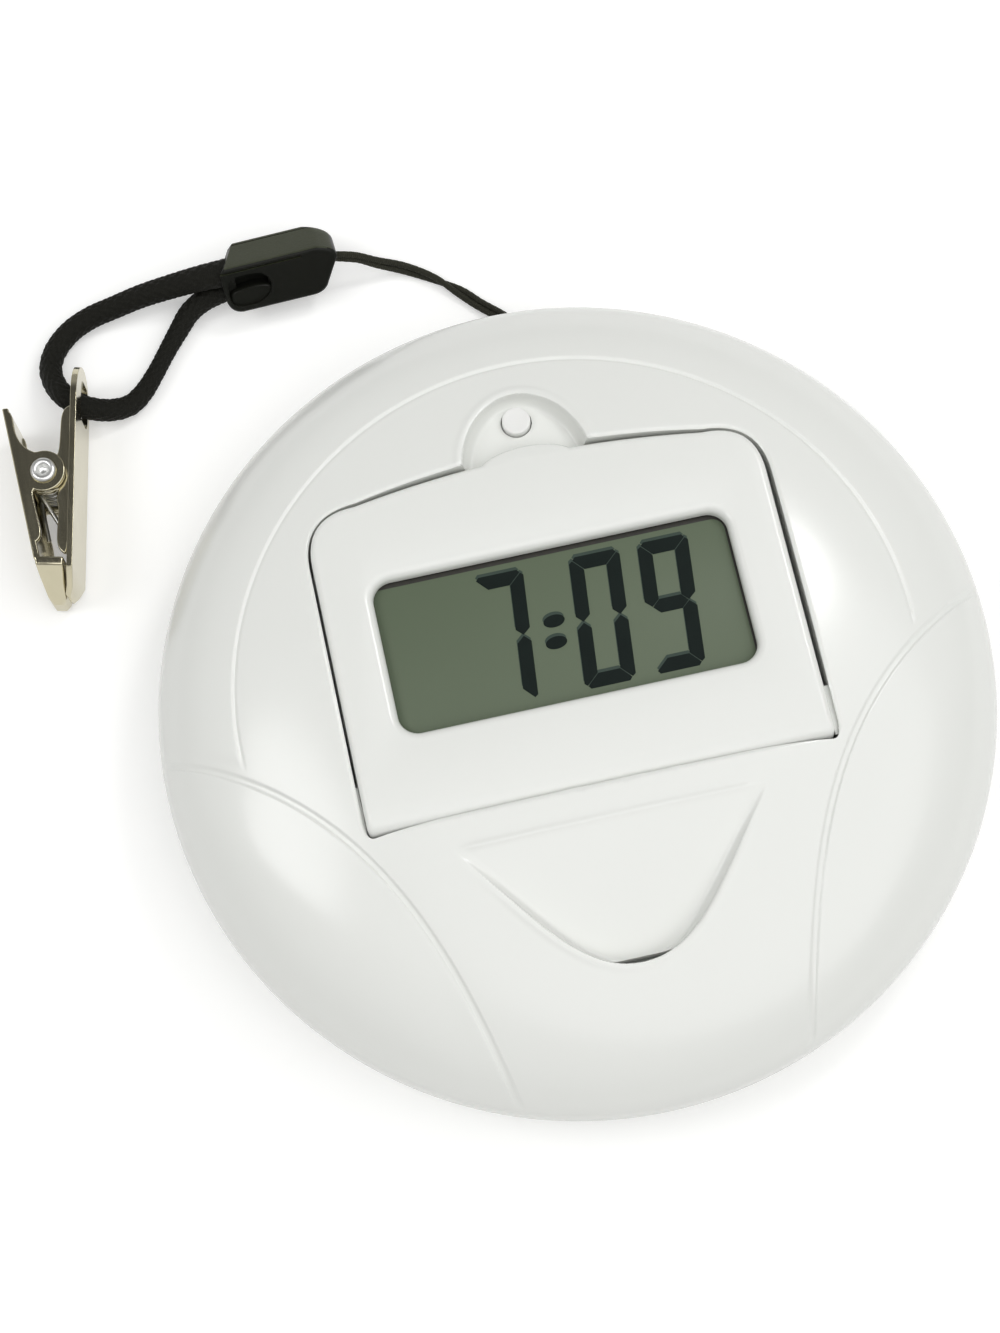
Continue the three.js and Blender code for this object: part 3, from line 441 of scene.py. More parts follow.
def end_group(tree, given, tone, grain):
    """The tone mixes the two colours, and the grain sets the roughness and the height."""
    mix = add_node(tree, "Mix", data_type="RGBA")
    first_colour, second_colour = [socket for socket in mix.inputs if socket.type == "RGBA"]
    join(tree, tone, mix.inputs["Factor"])
    join(tree, given["Colour A"], first_colour)
    join(tree, given["Colour B"], second_colour)
    rough = add_node(tree, "MapRange")
    join(tree, grain, rough.inputs["Value"])
    join(tree, given["Smoothest"], rough.inputs["To Min"])
    join(tree, given["Roughest"], rough.inputs["To Max"])
    end = tree.nodes.new("NodeGroupOutput")
    mixed = next(socket for socket in mix.outputs if socket.type == "RGBA")
    join(tree, mixed, end.inputs["Colour"])
    join(tree, rough.outputs["Result"], end.inputs["Roughness"])
    join(tree, grain, end.inputs["Height"])


print("group sockets:", [label for label, *_ in group_inputs + group_outputs])

# %% Moulded, drawn and braided surfaces
line_stretch = (1.0, 0.06, 1.0)

moulded, given = new_group("moulded_surface")
cloud = scaled_noise(moulded, given["Vector"], given["Broad scale"])
grit = scaled_noise(moulded, given["Vector"], given["Fine scale"], 2.0)
end_group(moulded, given, cloud, grit)

drawn, given = new_group("drawn_metal")
stretch = add_node(drawn, "Mapping", Scale=line_stretch)
join(drawn, given["Vector"], stretch.inputs["Vector"])
stains = scaled_noise(drawn, given["Vector"], given["Broad scale"])
lines = scaled_noise(drawn, stretch.outputs["Vector"], given["Fine scale"], 4.0)
end_group(drawn, given, stains, lines)

strands, given = new_group("crossing_strands")
axes = add_node(strands, "SeparateXYZ")
join(strands, given["Vector"], axes.inputs["Vector"])
along = math_node(strands, "MULTIPLY", axes.outputs["X"], given["Broad scale"])
around = math_node(strands, "MULTIPLY", axes.outputs["Y"], given["Fine scale"])
one_way = math_node(strands, "SINE", math_node(strands, "ADD", along, around), 0)
other_way = math_node(strands, "SINE", math_node(strands, "SUBTRACT", along, around), 0)
crossing = math_node(strands, "MULTIPLY", one_way, other_way)
weave = math_node(strands, "ADD", math_node(strands, "MULTIPLY", crossing, 0.5), 0.5)
end_group(strands, given, weave, weave)
print("groups:", [group.name for group in bpy.data.node_groups])

# %% [markdown]
# ## Materials
# A material is a Principled shader that one of the shared groups feeds with colour, roughness and a little
# height. Numbers that are the same all over a surface are set on the shader's own sockets.

# %% Materials


def surface(name, group, colours, scales, roughness, bump=0.02, source="Object", **plain):
    """A material with two colours, a broad and a fine scale, and a range of roughness."""
    made = bpy.data.materials.new(name)
    made.use_nodes = True
    tree = made.node_tree
    shader = tree.nodes["Principled BSDF"]
    effect = tree.nodes.new("ShaderNodeGroup")
    effect.node_tree = group
    join(tree, add_node(tree, "TexCoord").outputs[source], effect.inputs["Vector"])
    labels = ("Colour A", "Colour B", "Broad scale", "Fine scale", "Smoothest", "Roughest")
    for label, value in zip(labels, (*[(*colour, 1) for colour in colours], *scales, *roughness)):
        effect.inputs[label].default_value = value
    join(tree, effect.outputs["Colour"], shader.inputs["Base Color"])
    join(tree, effect.outputs["Roughness"], shader.inputs["Roughness"])
    relief = add_node(tree, "Bump", Strength=bump, Distance=0.2 * mm)
    join(tree, effect.outputs["Height"], relief.inputs["Height"])
    join(tree, relief.outputs["Normal"], shader.inputs["Normal"])
    for socket, value in plain.items():
        shader.inputs[socket.replace("_", " ")].default_value = value
    return made


white_plastic = surface(
    "white_plastic", moulded, ((0.80, 0.81, 0.78), (0.775, 0.785, 0.755)), scales=(30, 1800),
    roughness=(0.2, 0.27), bump=0.01, Coat_Weight=0.2, Coat_Roughness=0.12)
white_inside = surface(
    "white_inside", moulded, ((0.78, 0.79, 0.765), (0.75, 0.76, 0.735)), scales=(60, 3000),
    roughness=(0.42, 0.55), bump=0.05)
button_plastic = surface(
    "button_plastic", moulded, ((0.82, 0.82, 0.8), (0.79, 0.79, 0.775)), scales=(120, 4000),
    roughness=(0.28, 0.38))
grey_button = surface(
    "grey_button", moulded, ((0.5, 0.51, 0.5), (0.46, 0.47, 0.46)), scales=(150, 4000),
    roughness=(0.4, 0.52), bump=0.05)
dark_plastic = surface(
    "dark_plastic", moulded, ((0.02, 0.02, 0.02), (0.032, 0.031, 0.029)), scales=(150, 4000),
    roughness=(0.4, 0.55), bump=0.06)
joiner_plastic = surface(
    "joiner_plastic", moulded, ((0.005, 0.0055, 0.004), (0.008, 0.0085, 0.006)), scales=(220, 2600),
    roughness=(0.28, 0.4), bump=0.1, Specular_IOR_Level=0.18)
# The joiner's satin top: rougher than the front, and lighter in colour as a painted sheen where it faces up.
joiner_satin_and_sheen = surface(
    "joiner_satin_and_sheen", moulded, ((0.03, 0.034, 0.017), (0.039, 0.044, 0.022)), scales=(220, 3200),
    roughness=(0.5, 0.62), bump=0.15, Specular_IOR_Level=0.35)
soft_rubber = surface(
    "soft_rubber", moulded, ((0.03, 0.03, 0.03), (0.045, 0.043, 0.04)), scales=(200, 5000),
    roughness=(0.7, 0.85), bump=0.1)
board_film = surface(
    "board_film", moulded, ((0.025, 0.14, 0.045), (0.02, 0.105, 0.035)), scales=(400, 1500),
    roughness=(0.35, 0.5), bump=0.08)
cell_film = surface(
    "cell_film", moulded, ((0.03, 0.1, 0.26), (0.024, 0.08, 0.21)), scales=(90, 1600),
    roughness=(0.25, 0.35), Metallic=0.3)
sintered_metal = surface(
    "sintered_metal", moulded, ((0.36, 0.34, 0.31), (0.28, 0.265, 0.24)), scales=(300, 5000),
    roughness=(0.4, 0.6), bump=0.15, Metallic=1.0)
plated_steel = surface(
    "plated_steel", drawn, ((0.58, 0.58, 0.56), (0.5, 0.5, 0.48)), scales=(200, 3500),
    roughness=(0.22, 0.36), bump=0.04, Metallic=1.0)
bright_nickel = surface(
    "bright_nickel", drawn, ((0.58, 0.54, 0.40), (0.5, 0.46, 0.33)), scales=(260, 2600),
    roughness=(0.1, 0.2), bump=0.03, Metallic=1.0)
rivet_metal = surface(
    "rivet_metal", drawn, ((0.78, 0.78, 0.77), (0.7, 0.7, 0.69)), scales=(300, 3000),
    roughness=(0.25, 0.38), bump=0.05, Metallic=1.0)
thin_cord_yarn = surface(
    "thin_cord_yarn", strands, ((0.014, 0.014, 0.008), (0.026, 0.026, 0.015)), scales=(900, 12),
    roughness=(0.6, 0.8), bump=0.6, source="UV", Specular_IOR_Level=0.3)
braid_yarn = surface(
    "braid_yarn", strands, ((0.003, 0.003, 0.002), (0.011, 0.011, 0.007)), scales=(829, 188),
    roughness=(0.55, 0.75), bump=0.3, source="UV", Specular_IOR_Level=0.18)
print("materials:", len(bpy.data.materials))

# %% Finish of the CAD nodes
name_starts = [
    (white_inside, ("lid_back",)),
    (plated_steel, ("hinge_pin", "hinge_bush", "slide_switch", "crystal", "motor_can", "motor_shaft",
                    "strap_pin", "clip_spring", "case_screw", "lid_screw", "contact_spring")),
    (dark_plastic, ("display_cable", "clock_chip", "sounder", "motor_bracket", "mode_knob", "tact_switch")),
    (board_film, ("main_board", "display_board")),
    (sintered_metal, ("eccentric_weight",)),
    (cell_film, ("cell_1", "cell_2")),
    (soft_rubber, ("zebra_strip",)),
]
for name, node in nodes.items():
    plain = plated_steel if name.endswith("contact") else white_plastic
    finish = next((finish for finish, starts in name_starts if name.startswith(starts)), plain)
    node.data.materials.clear()
    node.data.materials.append(finish)
print("finished nodes:", len(nodes))

# %% [markdown]
# ## Cords
# Two cords show. A thin one runs from the joiner round the pin under the rear rim and back again. A thicker
# braided loop leaves the other end of the joiner, passes through the slot of the clip and returns. A curve
# with a round bevel would give the path, but not the strands. So a flat grid is rolled into a tube along the
# route, and the strands of the braid swell its surface.

# %% Routes and the rolled tube
thin_cord_route = [
    (-19.6, 65.7, 7.0), (-17.2, 65.65, 6.8), (-15.8, 65.6, 6.3), (-14.2, 65.5, 5.4), (-12.0, 65.1, 3.8),
    (-8.3, 64.3, 1.8), (-4.8, 61.95, 1.35), (-2.4, 59.3, 0.85), (-0.2, 56.9, 0.8), (1.8, 54.8, 1.2),
    (2.7, 52.2, 3.4), (2.9, 49.4, 5.3), (2.85, 47.4, 5.8), (2.8, 45.4, 5.8), (3.4, 44.0, 5.8),
    (4.8, 43.4, 5.8), (6.2, 44.0, 5.8), (6.8, 45.4, 5.8), (6.75, 47.4, 5.8), (6.2, 49.4, 5.3),
    (4.2, 52.4, 3.4), (2.4, 55.4, 1.2), (0.4, 57.5, 0.7), (-1.8, 59.9, 0.5), (-4.8, 61.9, 0.45),
    (-8.5, 63.8, 1.05), (-12.0, 64.7, 2.95), (-14.2, 65.2, 4.6), (-15.8, 65.35, 5.45), (-17.2, 65.5, 5.95),
    (-19.6, 65.6, 6.15),
]
braid_route = [
    (-30.6, 66.5, 6.4), (-32.2, 66.55, 6.25), (-34.6, 66.75, 5.7), (-38.3, 67.0, 4.6), (-42.8, 67.0, 3.5),
    (-46.5, 66.7, 2.5), (-49.9, 66.2, 1.9), (-52.8, 64.9, 1.8), (-55.1, 62.7, 1.9), (-56.1, 60.3, 2.3),
    (-55.9, 57.7, 3.2), (-54.8, 55.2, 4.3), (-53.1, 53.5, 4.6), (-51.3, 52.8, 3.7), (-49.0, 52.7, 2.5),
    (-46.9, 53.2, 1.8), (-45.1, 54.5, 1.6), (-43.2, 56.6, 1.6), (-40.9, 59.6, 1.6), (-38.9, 62.0, 1.8),
    (-37.1, 63.9, 2.2), (-35.0, 64.9, 2.8), (-32.4, 65.4, 3.3), (-30.6, 65.6, 3.55),
]


def smooth_route(points, count, steps_between=24):
    """Even steps along a smooth curve through the points, in mm, and the length of the curve."""
    given = np.array(points, float)
    given = np.vstack([2 * given[0] - given[1], given, 2 * given[-1] - given[-2]])
    dense = []
    for p0, p1, p2, p3 in zip(given, given[1:], given[2:], given[3:]):
        t1 = np.linalg.norm(p1 - p0) ** 0.5
        t2 = t1 + np.linalg.norm(p2 - p1) ** 0.5
        t3 = t2 + np.linalg.norm(p3 - p2) ** 0.5
        t = np.linspace(t1, t2, steps_between, endpoint=False)[:, None]
        a1 = (t1 - t) / t1 * p0 + t / t1 * p1
        a2 = (t2 - t) / (t2 - t1) * p1 + (t - t1) / (t2 - t1) * p2
        a3 = (t3 - t) / (t3 - t2) * p2 + (t - t2) / (t3 - t2) * p3
        b1 = (t2 - t) / t2 * a1 + t / t2 * a2
        b2 = (t3 - t) / (t3 - t1) * a2 + (t - t1) / (t3 - t1) * a3
        dense.append((t2 - t) / (t2 - t1) * b1 + (t - t1) / (t2 - t1) * b2)
    line = np.vstack(dense + [given[-2:-1]])
    run = np.concatenate([[0], np.cumsum(np.linalg.norm(np.diff(line, axis=0), axis=1))])
    steps = np.linspace(0, run[-1], count)
    return np.stack([np.interp(steps, run, line[:, axis]) for axis in range(3)], axis=1), run[-1]


def rolled_tube(name, line, radius, sides, swell):
    """A grid rolled round a line. swell(u, v) gives the extra radius at u along and v around, both 0 to 1."""
    count = len(line)
    deselect()
    bpy.ops.mesh.primitive_grid_add(x_subdivisions=count - 1, y_subdivisions=sides, size=1)
    tube = named(name)
    flat = np.zeros(len(tube.data.vertices) * 3)
    tube.data.vertices.foreach_get("co", flat)
    flat = flat.reshape(-1, 3)
    u = flat[:, 0] + 0.5
    v = flat[:, 1] + 0.5
    tangent = np.gradient(line, axis=0)
    tangent /= np.linalg.norm(tangent, axis=1)[:, None]
    side = np.cross(tangent[0], (0, 0, 1))
    sides_along = []
    for direction in tangent:
        side = side - direction * side.dot(direction)
        side /= np.linalg.norm(side)
        sides_along.append(side)
    across = np.array(sides_along)
    over = np.cross(across, tangent)
    at = np.rint(u * (count - 1)).astype(int)
    angle = (2 * math.pi * v)[:, None]
    reach = (radius + swell(u, v))[:, None]
    rolled = line[at] + reach * (np.cos(angle) * across[at] + np.sin(angle) * over[at])
    tube.data.vertices.foreach_set("co", (rolled * mm).ravel())
    clean(tube)
    edit(tube, "EDGE")
    bpy.ops.mesh.select_all(action="DESELECT")
    bpy.ops.mesh.select_non_manifold()
    bpy.ops.mesh.fill_holes(sides=0)
    bpy.ops.mesh.select_all(action="SELECT")
    bpy.ops.mesh.normals_make_consistent(inside=False)
    leave_edit()
    return tube


thin_line, thin_length = smooth_route(thin_cord_route, 320)
braid_line, braid_length = smooth_route(braid_route, 640)
print("thin cord", round(thin_length, 1), "mm, braid", round(braid_length, 1), "mm")

# %% Thin cord and braided loop
cord_radius, cord_twists, cord_plies = 0.4, 90, 3
ply_swell, ply_sink = 0.04, 0.02
braid_radius, braid_width = 1.46, 3.1
strands_round, braid_lays = 10, 44
strand_swell, strand_sink = 0.16, 0.1
start_spread, start_share = 0.34, 0.3
edge_on_drop, edge_on_at, edge_on_half = 0.34, 0.78, 0.1


def braid_swell(u, v):
    """Two sets of strands wind in opposite ways and pass over and under each other in turn."""
    one = strands_round * v + braid_lays * u
    other = strands_round * v - braid_lays * u
    one_crown = np.cos(math.pi * (one - np.rint(one))) ** 2
    other_crown = np.cos(math.pi * (other - np.rint(other))) ** 2
    one_over = np.cos(math.pi * np.rint(one)) * np.cos(math.pi * other)
    other_over = -np.cos(math.pi * np.rint(other)) * np.cos(math.pi * one)
    crown = np.maximum(one_crown * (0.6 + 0.4 * one_over), other_crown * (0.6 + 0.4 * other_over))
    spread_out = start_spread * (1 - np.clip(u / start_share, 0, 1)) ** 2
    edge_on = edge_on_drop * np.exp(-((u - edge_on_at) / edge_on_half) ** 2)
    return strand_swell * crown - strand_sink + spread_out - edge_on


def twist_swell(u, v):
    ply = np.abs(np.sin(math.pi * cord_plies * v + math.pi * cord_twists * u))
    return ply_swell * ply - ply_sink


thin_cord = rolled_tube("thin_cord_twisted", thin_line, cord_radius, 18, twist_swell)
finished(thin_cord, thin_cord_yarn, "case", "thin_cord", 60)

braided_loop = rolled_tube("braided_loop_woven", braid_line, braid_radius, 84, braid_swell)
finished(braided_loop, braid_yarn, "case", "braided_loop", 60)
print("cords:", len(thin_cord.data.polygons), len(braided_loop.data.polygons), "faces")

# %% [markdown]
# ## Top shell
# The top half is one injection moulding: a shallow dome with a raised outer band, two petal-shaped grooves, a
# scoop in front, a finger recess behind and the opening for the lid. On a mould all of these are milled into
# one surface. The dome is spun here, its faces are divided finely only where a form needs it, and every point
# is then set to its height. Booleans alone would give hard edges where the moulding is soft, so they only
# make the openings. The lip before the lid reaches over the lid's front edge, with room below it for the
# swing, and a low ledge closes each end of the hinge.

# %% Outlines of the moulded forms
case_radius = 51
hinge_y = -10.2
hinge_z = 19.0524
lid_tilt = math.radians(-2)
lid_side = 27.9
lid_front = -4
lid_shoulder = 36.5
lid_corner = 6.5
lid_rise = 3.6
lid_gap = 0.5
front_overlap = 0.45
opening_shift = 0.16


def bend(points, count):
    """Points along a Bezier curve, without its last point."""
    control = [np.array(p, float) for p in points]
    degree = len(control) - 1
    t = np.linspace(0, 1, count, endpoint=False)[:, None]
    return sum(math.comb(degree, i) * (1 - t) ** (degree - i) * t ** i * p for i, p in enumerate(control))


def lid_outline(grow, front=None, nook=0.9):
    """The lid's plan in its own frame, from the left front corner and counterclockwise."""
    side = lid_side + grow
    front = lid_front - grow if front is None else front
    shoulder = lid_shoulder + grow
    corner = lid_corner + grow
    nook = max(nook + grow, 0.1)
    turns = [
        bend([(-side, front + nook), (-side, front), (nook - side, front)], 4),
        np.array([(nook - side, front)]),
        bend([(side - nook, front), (side, front), (side, front + nook)], 4),
        np.array([(side, front + nook)]),
        bend([(side, shoulder - corner), (side, shoulder), (side - corner, shoulder)], 12),
        bend([(side - corner, shoulder), (0, shoulder + lid_rise), (corner - side, shoulder)], 24),
        bend([(corner - side, shoulder), (-side, shoulder), (-side, shoulder - corner)], 12),
        np.array([(-side, shoulder - corner)]),
    ]
    return np.vstack(turns)


def closed(line):
    return np.vstack([line, line[:1]])


def mirrored(half):
    """A line that ends on the middle plane, with its mirror image after it."""
    return np.vstack([half, (half * (-1, 1))[-2::-1]])


petal_start, petal_end = (50.2, 1.8), (17.4, -47.2)
petal_line = np.vstack([bend([petal_start, (28.5, -8.4), (22.1, -24.95), petal_end], 60), [petal_end]])
scoop_back, scoop_tip, scoop_half = -17.8, -35.0, 18.4
scoop_line = mirrored(np.vstack([
    bend([(scoop_half, scoop_back - 0.6), (11.2, -27.4), (7.3, scoop_tip), (0, scoop_tip)], 40),
    [(0, scoop_tip)],
]))
recess_line = mirrored(np.vstack([bend([(8.0, 25.4), (8.2, 31.9), (4.0, 36.4), (0, 36.4)], 40), [(0, 36.4)]]))
opening_line = lid_outline(lid_gap, lid_front + front_overlap) + (opening_shift, hinge_y)


def distance_to(places, line):
    """The distance from each place to the nearest stretch of a line, in plan."""
    nearest = np.full(len(places), np.inf)
    for start, end in zip(line, line[1:]):
        along = end - start
        share = np.clip((places - start) @ along / max(along @ along, 1e-12), 0, 1)
        nearest = np.minimum(nearest, np.linalg.norm(places - start - share[:, None] * along, axis=1))
    return nearest


def depth_inside(places, outline):
    """The distance to a closed outline, positive inside it and negative outside."""
    ring = closed(outline)
    odd = np.zeros(len(places), bool)
    for (x0, y0), (x1, y1) in zip(ring, ring[1:]):
        if y0 != y1:
            crosses = (y0 > places[:, 1]) != (y1 > places[:, 1])
            odd ^= crosses & (places[:, 0] < x0 + (places[:, 1] - y0) * (x1 - x0) / (y1 - y0))
    return distance_to(places, ring) * np.where(odd, 1, -1)


def ease(low, high, value):
    t = np.clip((value - low) / (high - low), 0, 1)
    return t * t * (3 - 2 * t)


print("outlines:", len(opening_line), len(scoop_line), len(recess_line), "points")

# %% Height of the moulded surface
rim_z = 10
dome_rise = 13.6
dome_power = 3
wall = 2
ring_radius, ring_step, ring_line = 40.8, 0.19, 0.13
groove_half, groove_depth = 0.34, 0.28
petal_bulge, petal_bulge_width = 0.4, 9
scoop_floor_tip = 17.5
scoop_lip, scoop_crease = 0.12, 0.12
recess_floor = 19.013
recess_lip, recess_edge = 0.17, 0.4
edge_roll, edge_drop = 0.5, 0.26
under_wall = 1.6


def dome(radius, shrink=0):
    ratio = np.clip(radius / (case_radius - shrink), 0, 1)
    return rim_z + (dome_rise - shrink) * np.sqrt(1 - ratio ** dome_power)


def ridge(distance, half):
    """The section of a low round ridge, 1 on its crest."""
    return np.exp(-(distance / half) ** 2)


def petal_depth(places):
    """How far a place is inside a petal, negative outside. The petal is closed far outside the case."""
    right_side = np.vstack([petal_line, [(14.6, -60), (72, -60), (72, 12)]])
    folded = places * 1.0
    folded[:, 0] = np.abs(folded[:, 0])
    return depth_inside(folded, right_side)


def scoop_depth(places):
    """How far a place is inside the sides and the tip of the scoop, which is left open behind."""
    return depth_inside(places, np.vstack([scoop_line, [(-32, 10), (32, 10)]]))


def scoop_floor(places):
    """The floor starts flush with the dome along a straight back edge and falls evenly to the tip."""
    run = (scoop_back - places[:, 1]) / (scoop_back - scoop_tip)
    start = dome(np.hypot(places[:, 0], scoop_back))
    return start + (scoop_floor_tip - start) * run


def sunk(height, floor, depth, soft, fillet=2.4, lip=0.3):
    """A surface that drops from one height to a floor, steeply at first and then in a long fillet."""
    share = np.clip(depth / soft, 0, 1)
    fall = (1 - (1 - share) ** fillet) * ease(0, lip, depth)
    return height + (np.minimum(floor, height) - height) * fall


def with_ring_and_petals(height, places):
    """The raised outer band with a fine line before it, the bulged petals and the grooves round them."""
    radius = np.linalg.norm(places, axis=1)
    petal = petal_depth(places)
    rear = ease(-1.0, -2.6, petal) * ease(-12, -7, places[:, 1])
    band = ease(ring_radius - 0.05, ring_radius + 0.34, radius) * ease(50.5, 44, radius)
    height = height + rear * (ring_step * band - ring_line * ridge(radius - ring_radius + 0.16, 0.16))
    height += petal_bulge * ease(0, petal_bulge_width, petal) * ease(50.8, 44, radius)
    groove = ease(groove_half + 0.16, groove_half - 0.1, np.abs(petal)) * ease(50.6, 49.4, radius)
    return height - groove_depth * groove


def with_scoop(height, places):
    """The sunk scoop, a low lip along its sides and a crease along its back edge."""
    across, along = np.abs(places[:, 0]), places[:, 1]
    scoop = scoop_depth(places)
    floor = scoop_floor(places)
    room = height - floor
    in_front = ease(scoop_back + 0.25, scoop_back - 0.25, along)
    drop = sunk(height, floor, scoop, 1.0 + 0.5 * ease(3, 10, across))
    height = height + in_front * (drop - height)
    height += scoop_lip * ridge(scoop + 0.45, 0.4) * ease(0.3, 2.0, room) * (scoop < 2)
    return height + scoop_crease * ridge(along - scoop_back, 0.4) * ease(scoop_half, 16, across)


def outer_height(places):
    height = dome(np.linalg.norm(places, axis=1))
    height = with_scoop(with_ring_and_petals(height, places), places)
    recess = depth_inside(places, recess_line)
    height += recess_lip * ridge(recess + 0.55, 0.45)
    crisp = height - recess_edge * ease(0, 0.3, recess)
    height = sunk(crisp, recess_floor, recess, soft=1.1, fillet=2.0, lip=0.2)
    edge = -depth_inside(places, opening_line)
    bent = np.clip(1 - edge / edge_roll, 0, 1.5)
    return height - edge_drop * bent ** 2 * (recess < -0.1)


def inner_height(places):
    height = dome(np.linalg.norm(places, axis=1), wall)
    around, soft = under_wall + 0.1, 1.2
    under = ease(scoop_back + 2.5, scoop_back - 0.5, places[:, 1])
    drop = sunk(height, scoop_floor(places) - under_wall, scoop_depth(places) + around, soft)
    height += under * (drop - height)
    return sunk(height, recess_floor - under_wall, depth_inside(places, recess_line) + around, soft)


def near_forms(centres, reach, wide):
    """Which faces lie near the moulded lines, and near or in the sunk forms."""
    places = centres[:, :2]
    radius = np.linalg.norm(places, axis=1)
    on_top = centres[:, 2] > dome(radius, 1)
    petal = petal_depth(places)
    ring = (np.abs(radius - ring_radius - 0.1) < reach) & (petal < 0.5) & (places[:, 1] > -12)
    scoop = scoop_depth(places)
    scoop_wall = (scoop > -reach) & (scoop < 1.6 + reach) & (places[:, 1] < scoop_back + 1)
    scoop_edge = (np.abs(places[:, 1] - scoop_back) < reach) & (np.abs(places[:, 0]) < 18)
    recess = depth_inside(places, recess_line)
    recess_area = (recess > -1.2 - reach) & (recess < 1 + wide)
    edge = depth_inside(places, opening_line)
    opening = (edge > -0.4 - reach) & (edge < 0.3)
    picked = ring | (np.abs(petal) < reach) | scoop_wall | scoop_edge | recess_area | opening
    return on_top & picked & (radius < 50.4) & (edge <= 0.6)


print("dome:", round(float(dome(0)), 2), "mm high, scoop tip at", scoop_floor_tip, "mm")

# %% Spin and shape the top shell
sweep = [math.radians(v) for v in np.linspace(0, 90, 52)]


def dome_profile(angles, shrink):
    """Points of the dome's section, close together where it is steep."""
    bow = 2 / dome_power
    return [((case_radius - shrink) * math.sin(t) ** bow, rim_z + (dome_rise - shrink) * math.cos(t))
            for t in angles]


outer_profile = dome_profile(sweep, 0)
inner_profile = dome_profile(sweep[::-3], wall)
rim_profile = [(50.96, 9.86), (50.8, 9.8), (49.2, 9.8)]
top_shell = turned("top_shell", outer_profile + rim_profile + inner_profile, 216)
for reach, wide in ((2.2, 4), (1.3, 2.4), (0.6, 0.8)):
    pick_faces(top_shell, near_forms(places_of(top_shell.data, "FACE"), reach, wide))
    bpy.ops.mesh.subdivide(number_cuts=1)
    leave_edit()
places = places_of(top_shell.data, "VERT")
radius = np.linalg.norm(places[:, :2], axis=1)
outer = (places[:, 2] > dome(radius, wall / 2)) & (radius < 50.9)
inner = (places[:, 2] <= dome(radius, wall / 2)) & (radius < 48.9) & (places[:, 2] > 10.2)
places[outer, 2] = outer_height(places[outer, :2])
places[inner, 2] = inner_height(places[inner, :2])
top_shell.data.vertices.foreach_set("co", (places * mm).ravel())
top_shell.data.update()
print("top shell:", len(top_shell.data.polygons), "faces before the openings")

# %% Openings of the top shell
test_y = 33.3
test_radius = 1.75
fit = 0.15
slit_half = 3.7
slit_back = scoop_tip + 1.2
barrel_swing, barrel_round = 5.05, 0.9
ledge_depth, ledge_thick = 0.95, 0.5
ledge_front, ledge_rear = hinge_y - 3.5, hinge_y + 2.5
ledge_gap, ledge_root = 0.1, 1.2


def barrel_room(half):
    """The room that the full front edge of the lid sweeps through as it opens, with rounded ends."""
    quarter = np.linspace(0, math.pi / 2, 7)
    rounding = [(barrel_swing - barrel_round * (1 - math.sin(a)), half - barrel_round * (1 - math.cos(a)))
                for a in quarter]
    profile = [(0, half), *rounding, *[(r, -z) for r, z in rounding[::-1]], (0, -half)]
    hinge = Matrix.Translation((opening_shift * mm, hinge_y * mm, hinge_z * mm))
    return place(turned("barrel_room", profile, 96), hinge @ Matrix.Rotation(math.pi / 2, 4, "Y"))


cut(top_shell, plate("lid_opening", opening_line, 4, 30))
cut(top_shell, barrel_room(lid_side + 0.34))
ledge_top = dome(math.hypot(lid_side, hinge_y)) - ledge_depth
for side in (-1, 1):
    near, far = sorted((side * (lid_side + ledge_gap), side * (lid_side + ledge_root)))
    low, high = (near, ledge_front, ledge_top - ledge_thick), (far, ledge_rear, ledge_top)
    cut(top_shell, box_block("hinge_ledge", low, high), "UNION")
cut(top_shell, drum("test_hole", 0, test_y, 10, 30, test_radius + fit))
slit_curve = bend([(slit_half, slit_back - 0.1), (0, scoop_tip - 0.8), (-slit_half, slit_back - 0.1)], 12)
slit_plan = np.vstack([slit_curve, [(-slit_half, slit_back), (slit_half, slit_back)]])
cut(top_shell, plate("sound_slit", slit_plan, 12, 20.2))
clean(top_shell)
finished(top_shell, white_plastic, "case", "top_case", 40)
print("top shell:", len(top_shell.data.polygons), "faces")

# %% [markdown]
# ## Display lid
# The lid is a shallow moulded frame. Its front edge is full and soft over the hinge, the other edges are
# rolled over, and a rounded rim leads down to the window. It is drawn level by level, because each level is
# the same outline drawn in a little further, and the pocket and the window are then cut through it.

# %% Lid frame
barrel = 4
fullness_above, fullness_below = 5, 2
lid_under, lid_top = -3, 4
rolled_edge = 0.85
pocket_front, pocket_wall, pocket_roof = -1.05, 1.6, 2.4
thumb_half = (6.4, 2.8)
thumb_levels = ((1, 1.8), (1, 3.2), (0.98, 3.6), (0.93, 3.88), (0.86, 3.99))
lid_place = Matrix.Translation((0, hinge_y * mm, hinge_z * mm)) @ Matrix.Rotation(lid_tilt, 4, "X")
window_centre = (0, 16.7)
window_half = (21.65, 9.65)
window_corner = 2.4
window_rim = 1.1


def lid_level(z):
    over = max(0, z - (lid_top - rolled_edge))
    drawn_in = rolled_edge - math.sqrt(max(rolled_edge ** 2 - over ** 2, 0))
    fullness = fullness_above if z > 0 else fullness_below
    front = 0.001 - barrel * max(1 - (abs(z) / barrel) ** fullness, 0) ** (1 / fullness)
    return at_height(lid_outline(-drawn_in, front), z)


def rounded_rectangle(centre, half, corner, steps=8):
    (x, y), (w, h) = centre, (half[0] - corner, half[1] - corner)
    points = []
    for quarter, (sx, sy) in enumerate(((1, 1), (-1, 1), (-1, -1), (1, -1))):
        for step in range(steps + 1):
            angle = math.pi / 2 * (quarter + step / steps)
            points.append((x + sx * w + corner * math.cos(angle), y + sy * h + corner * math.sin(angle)))
    return points


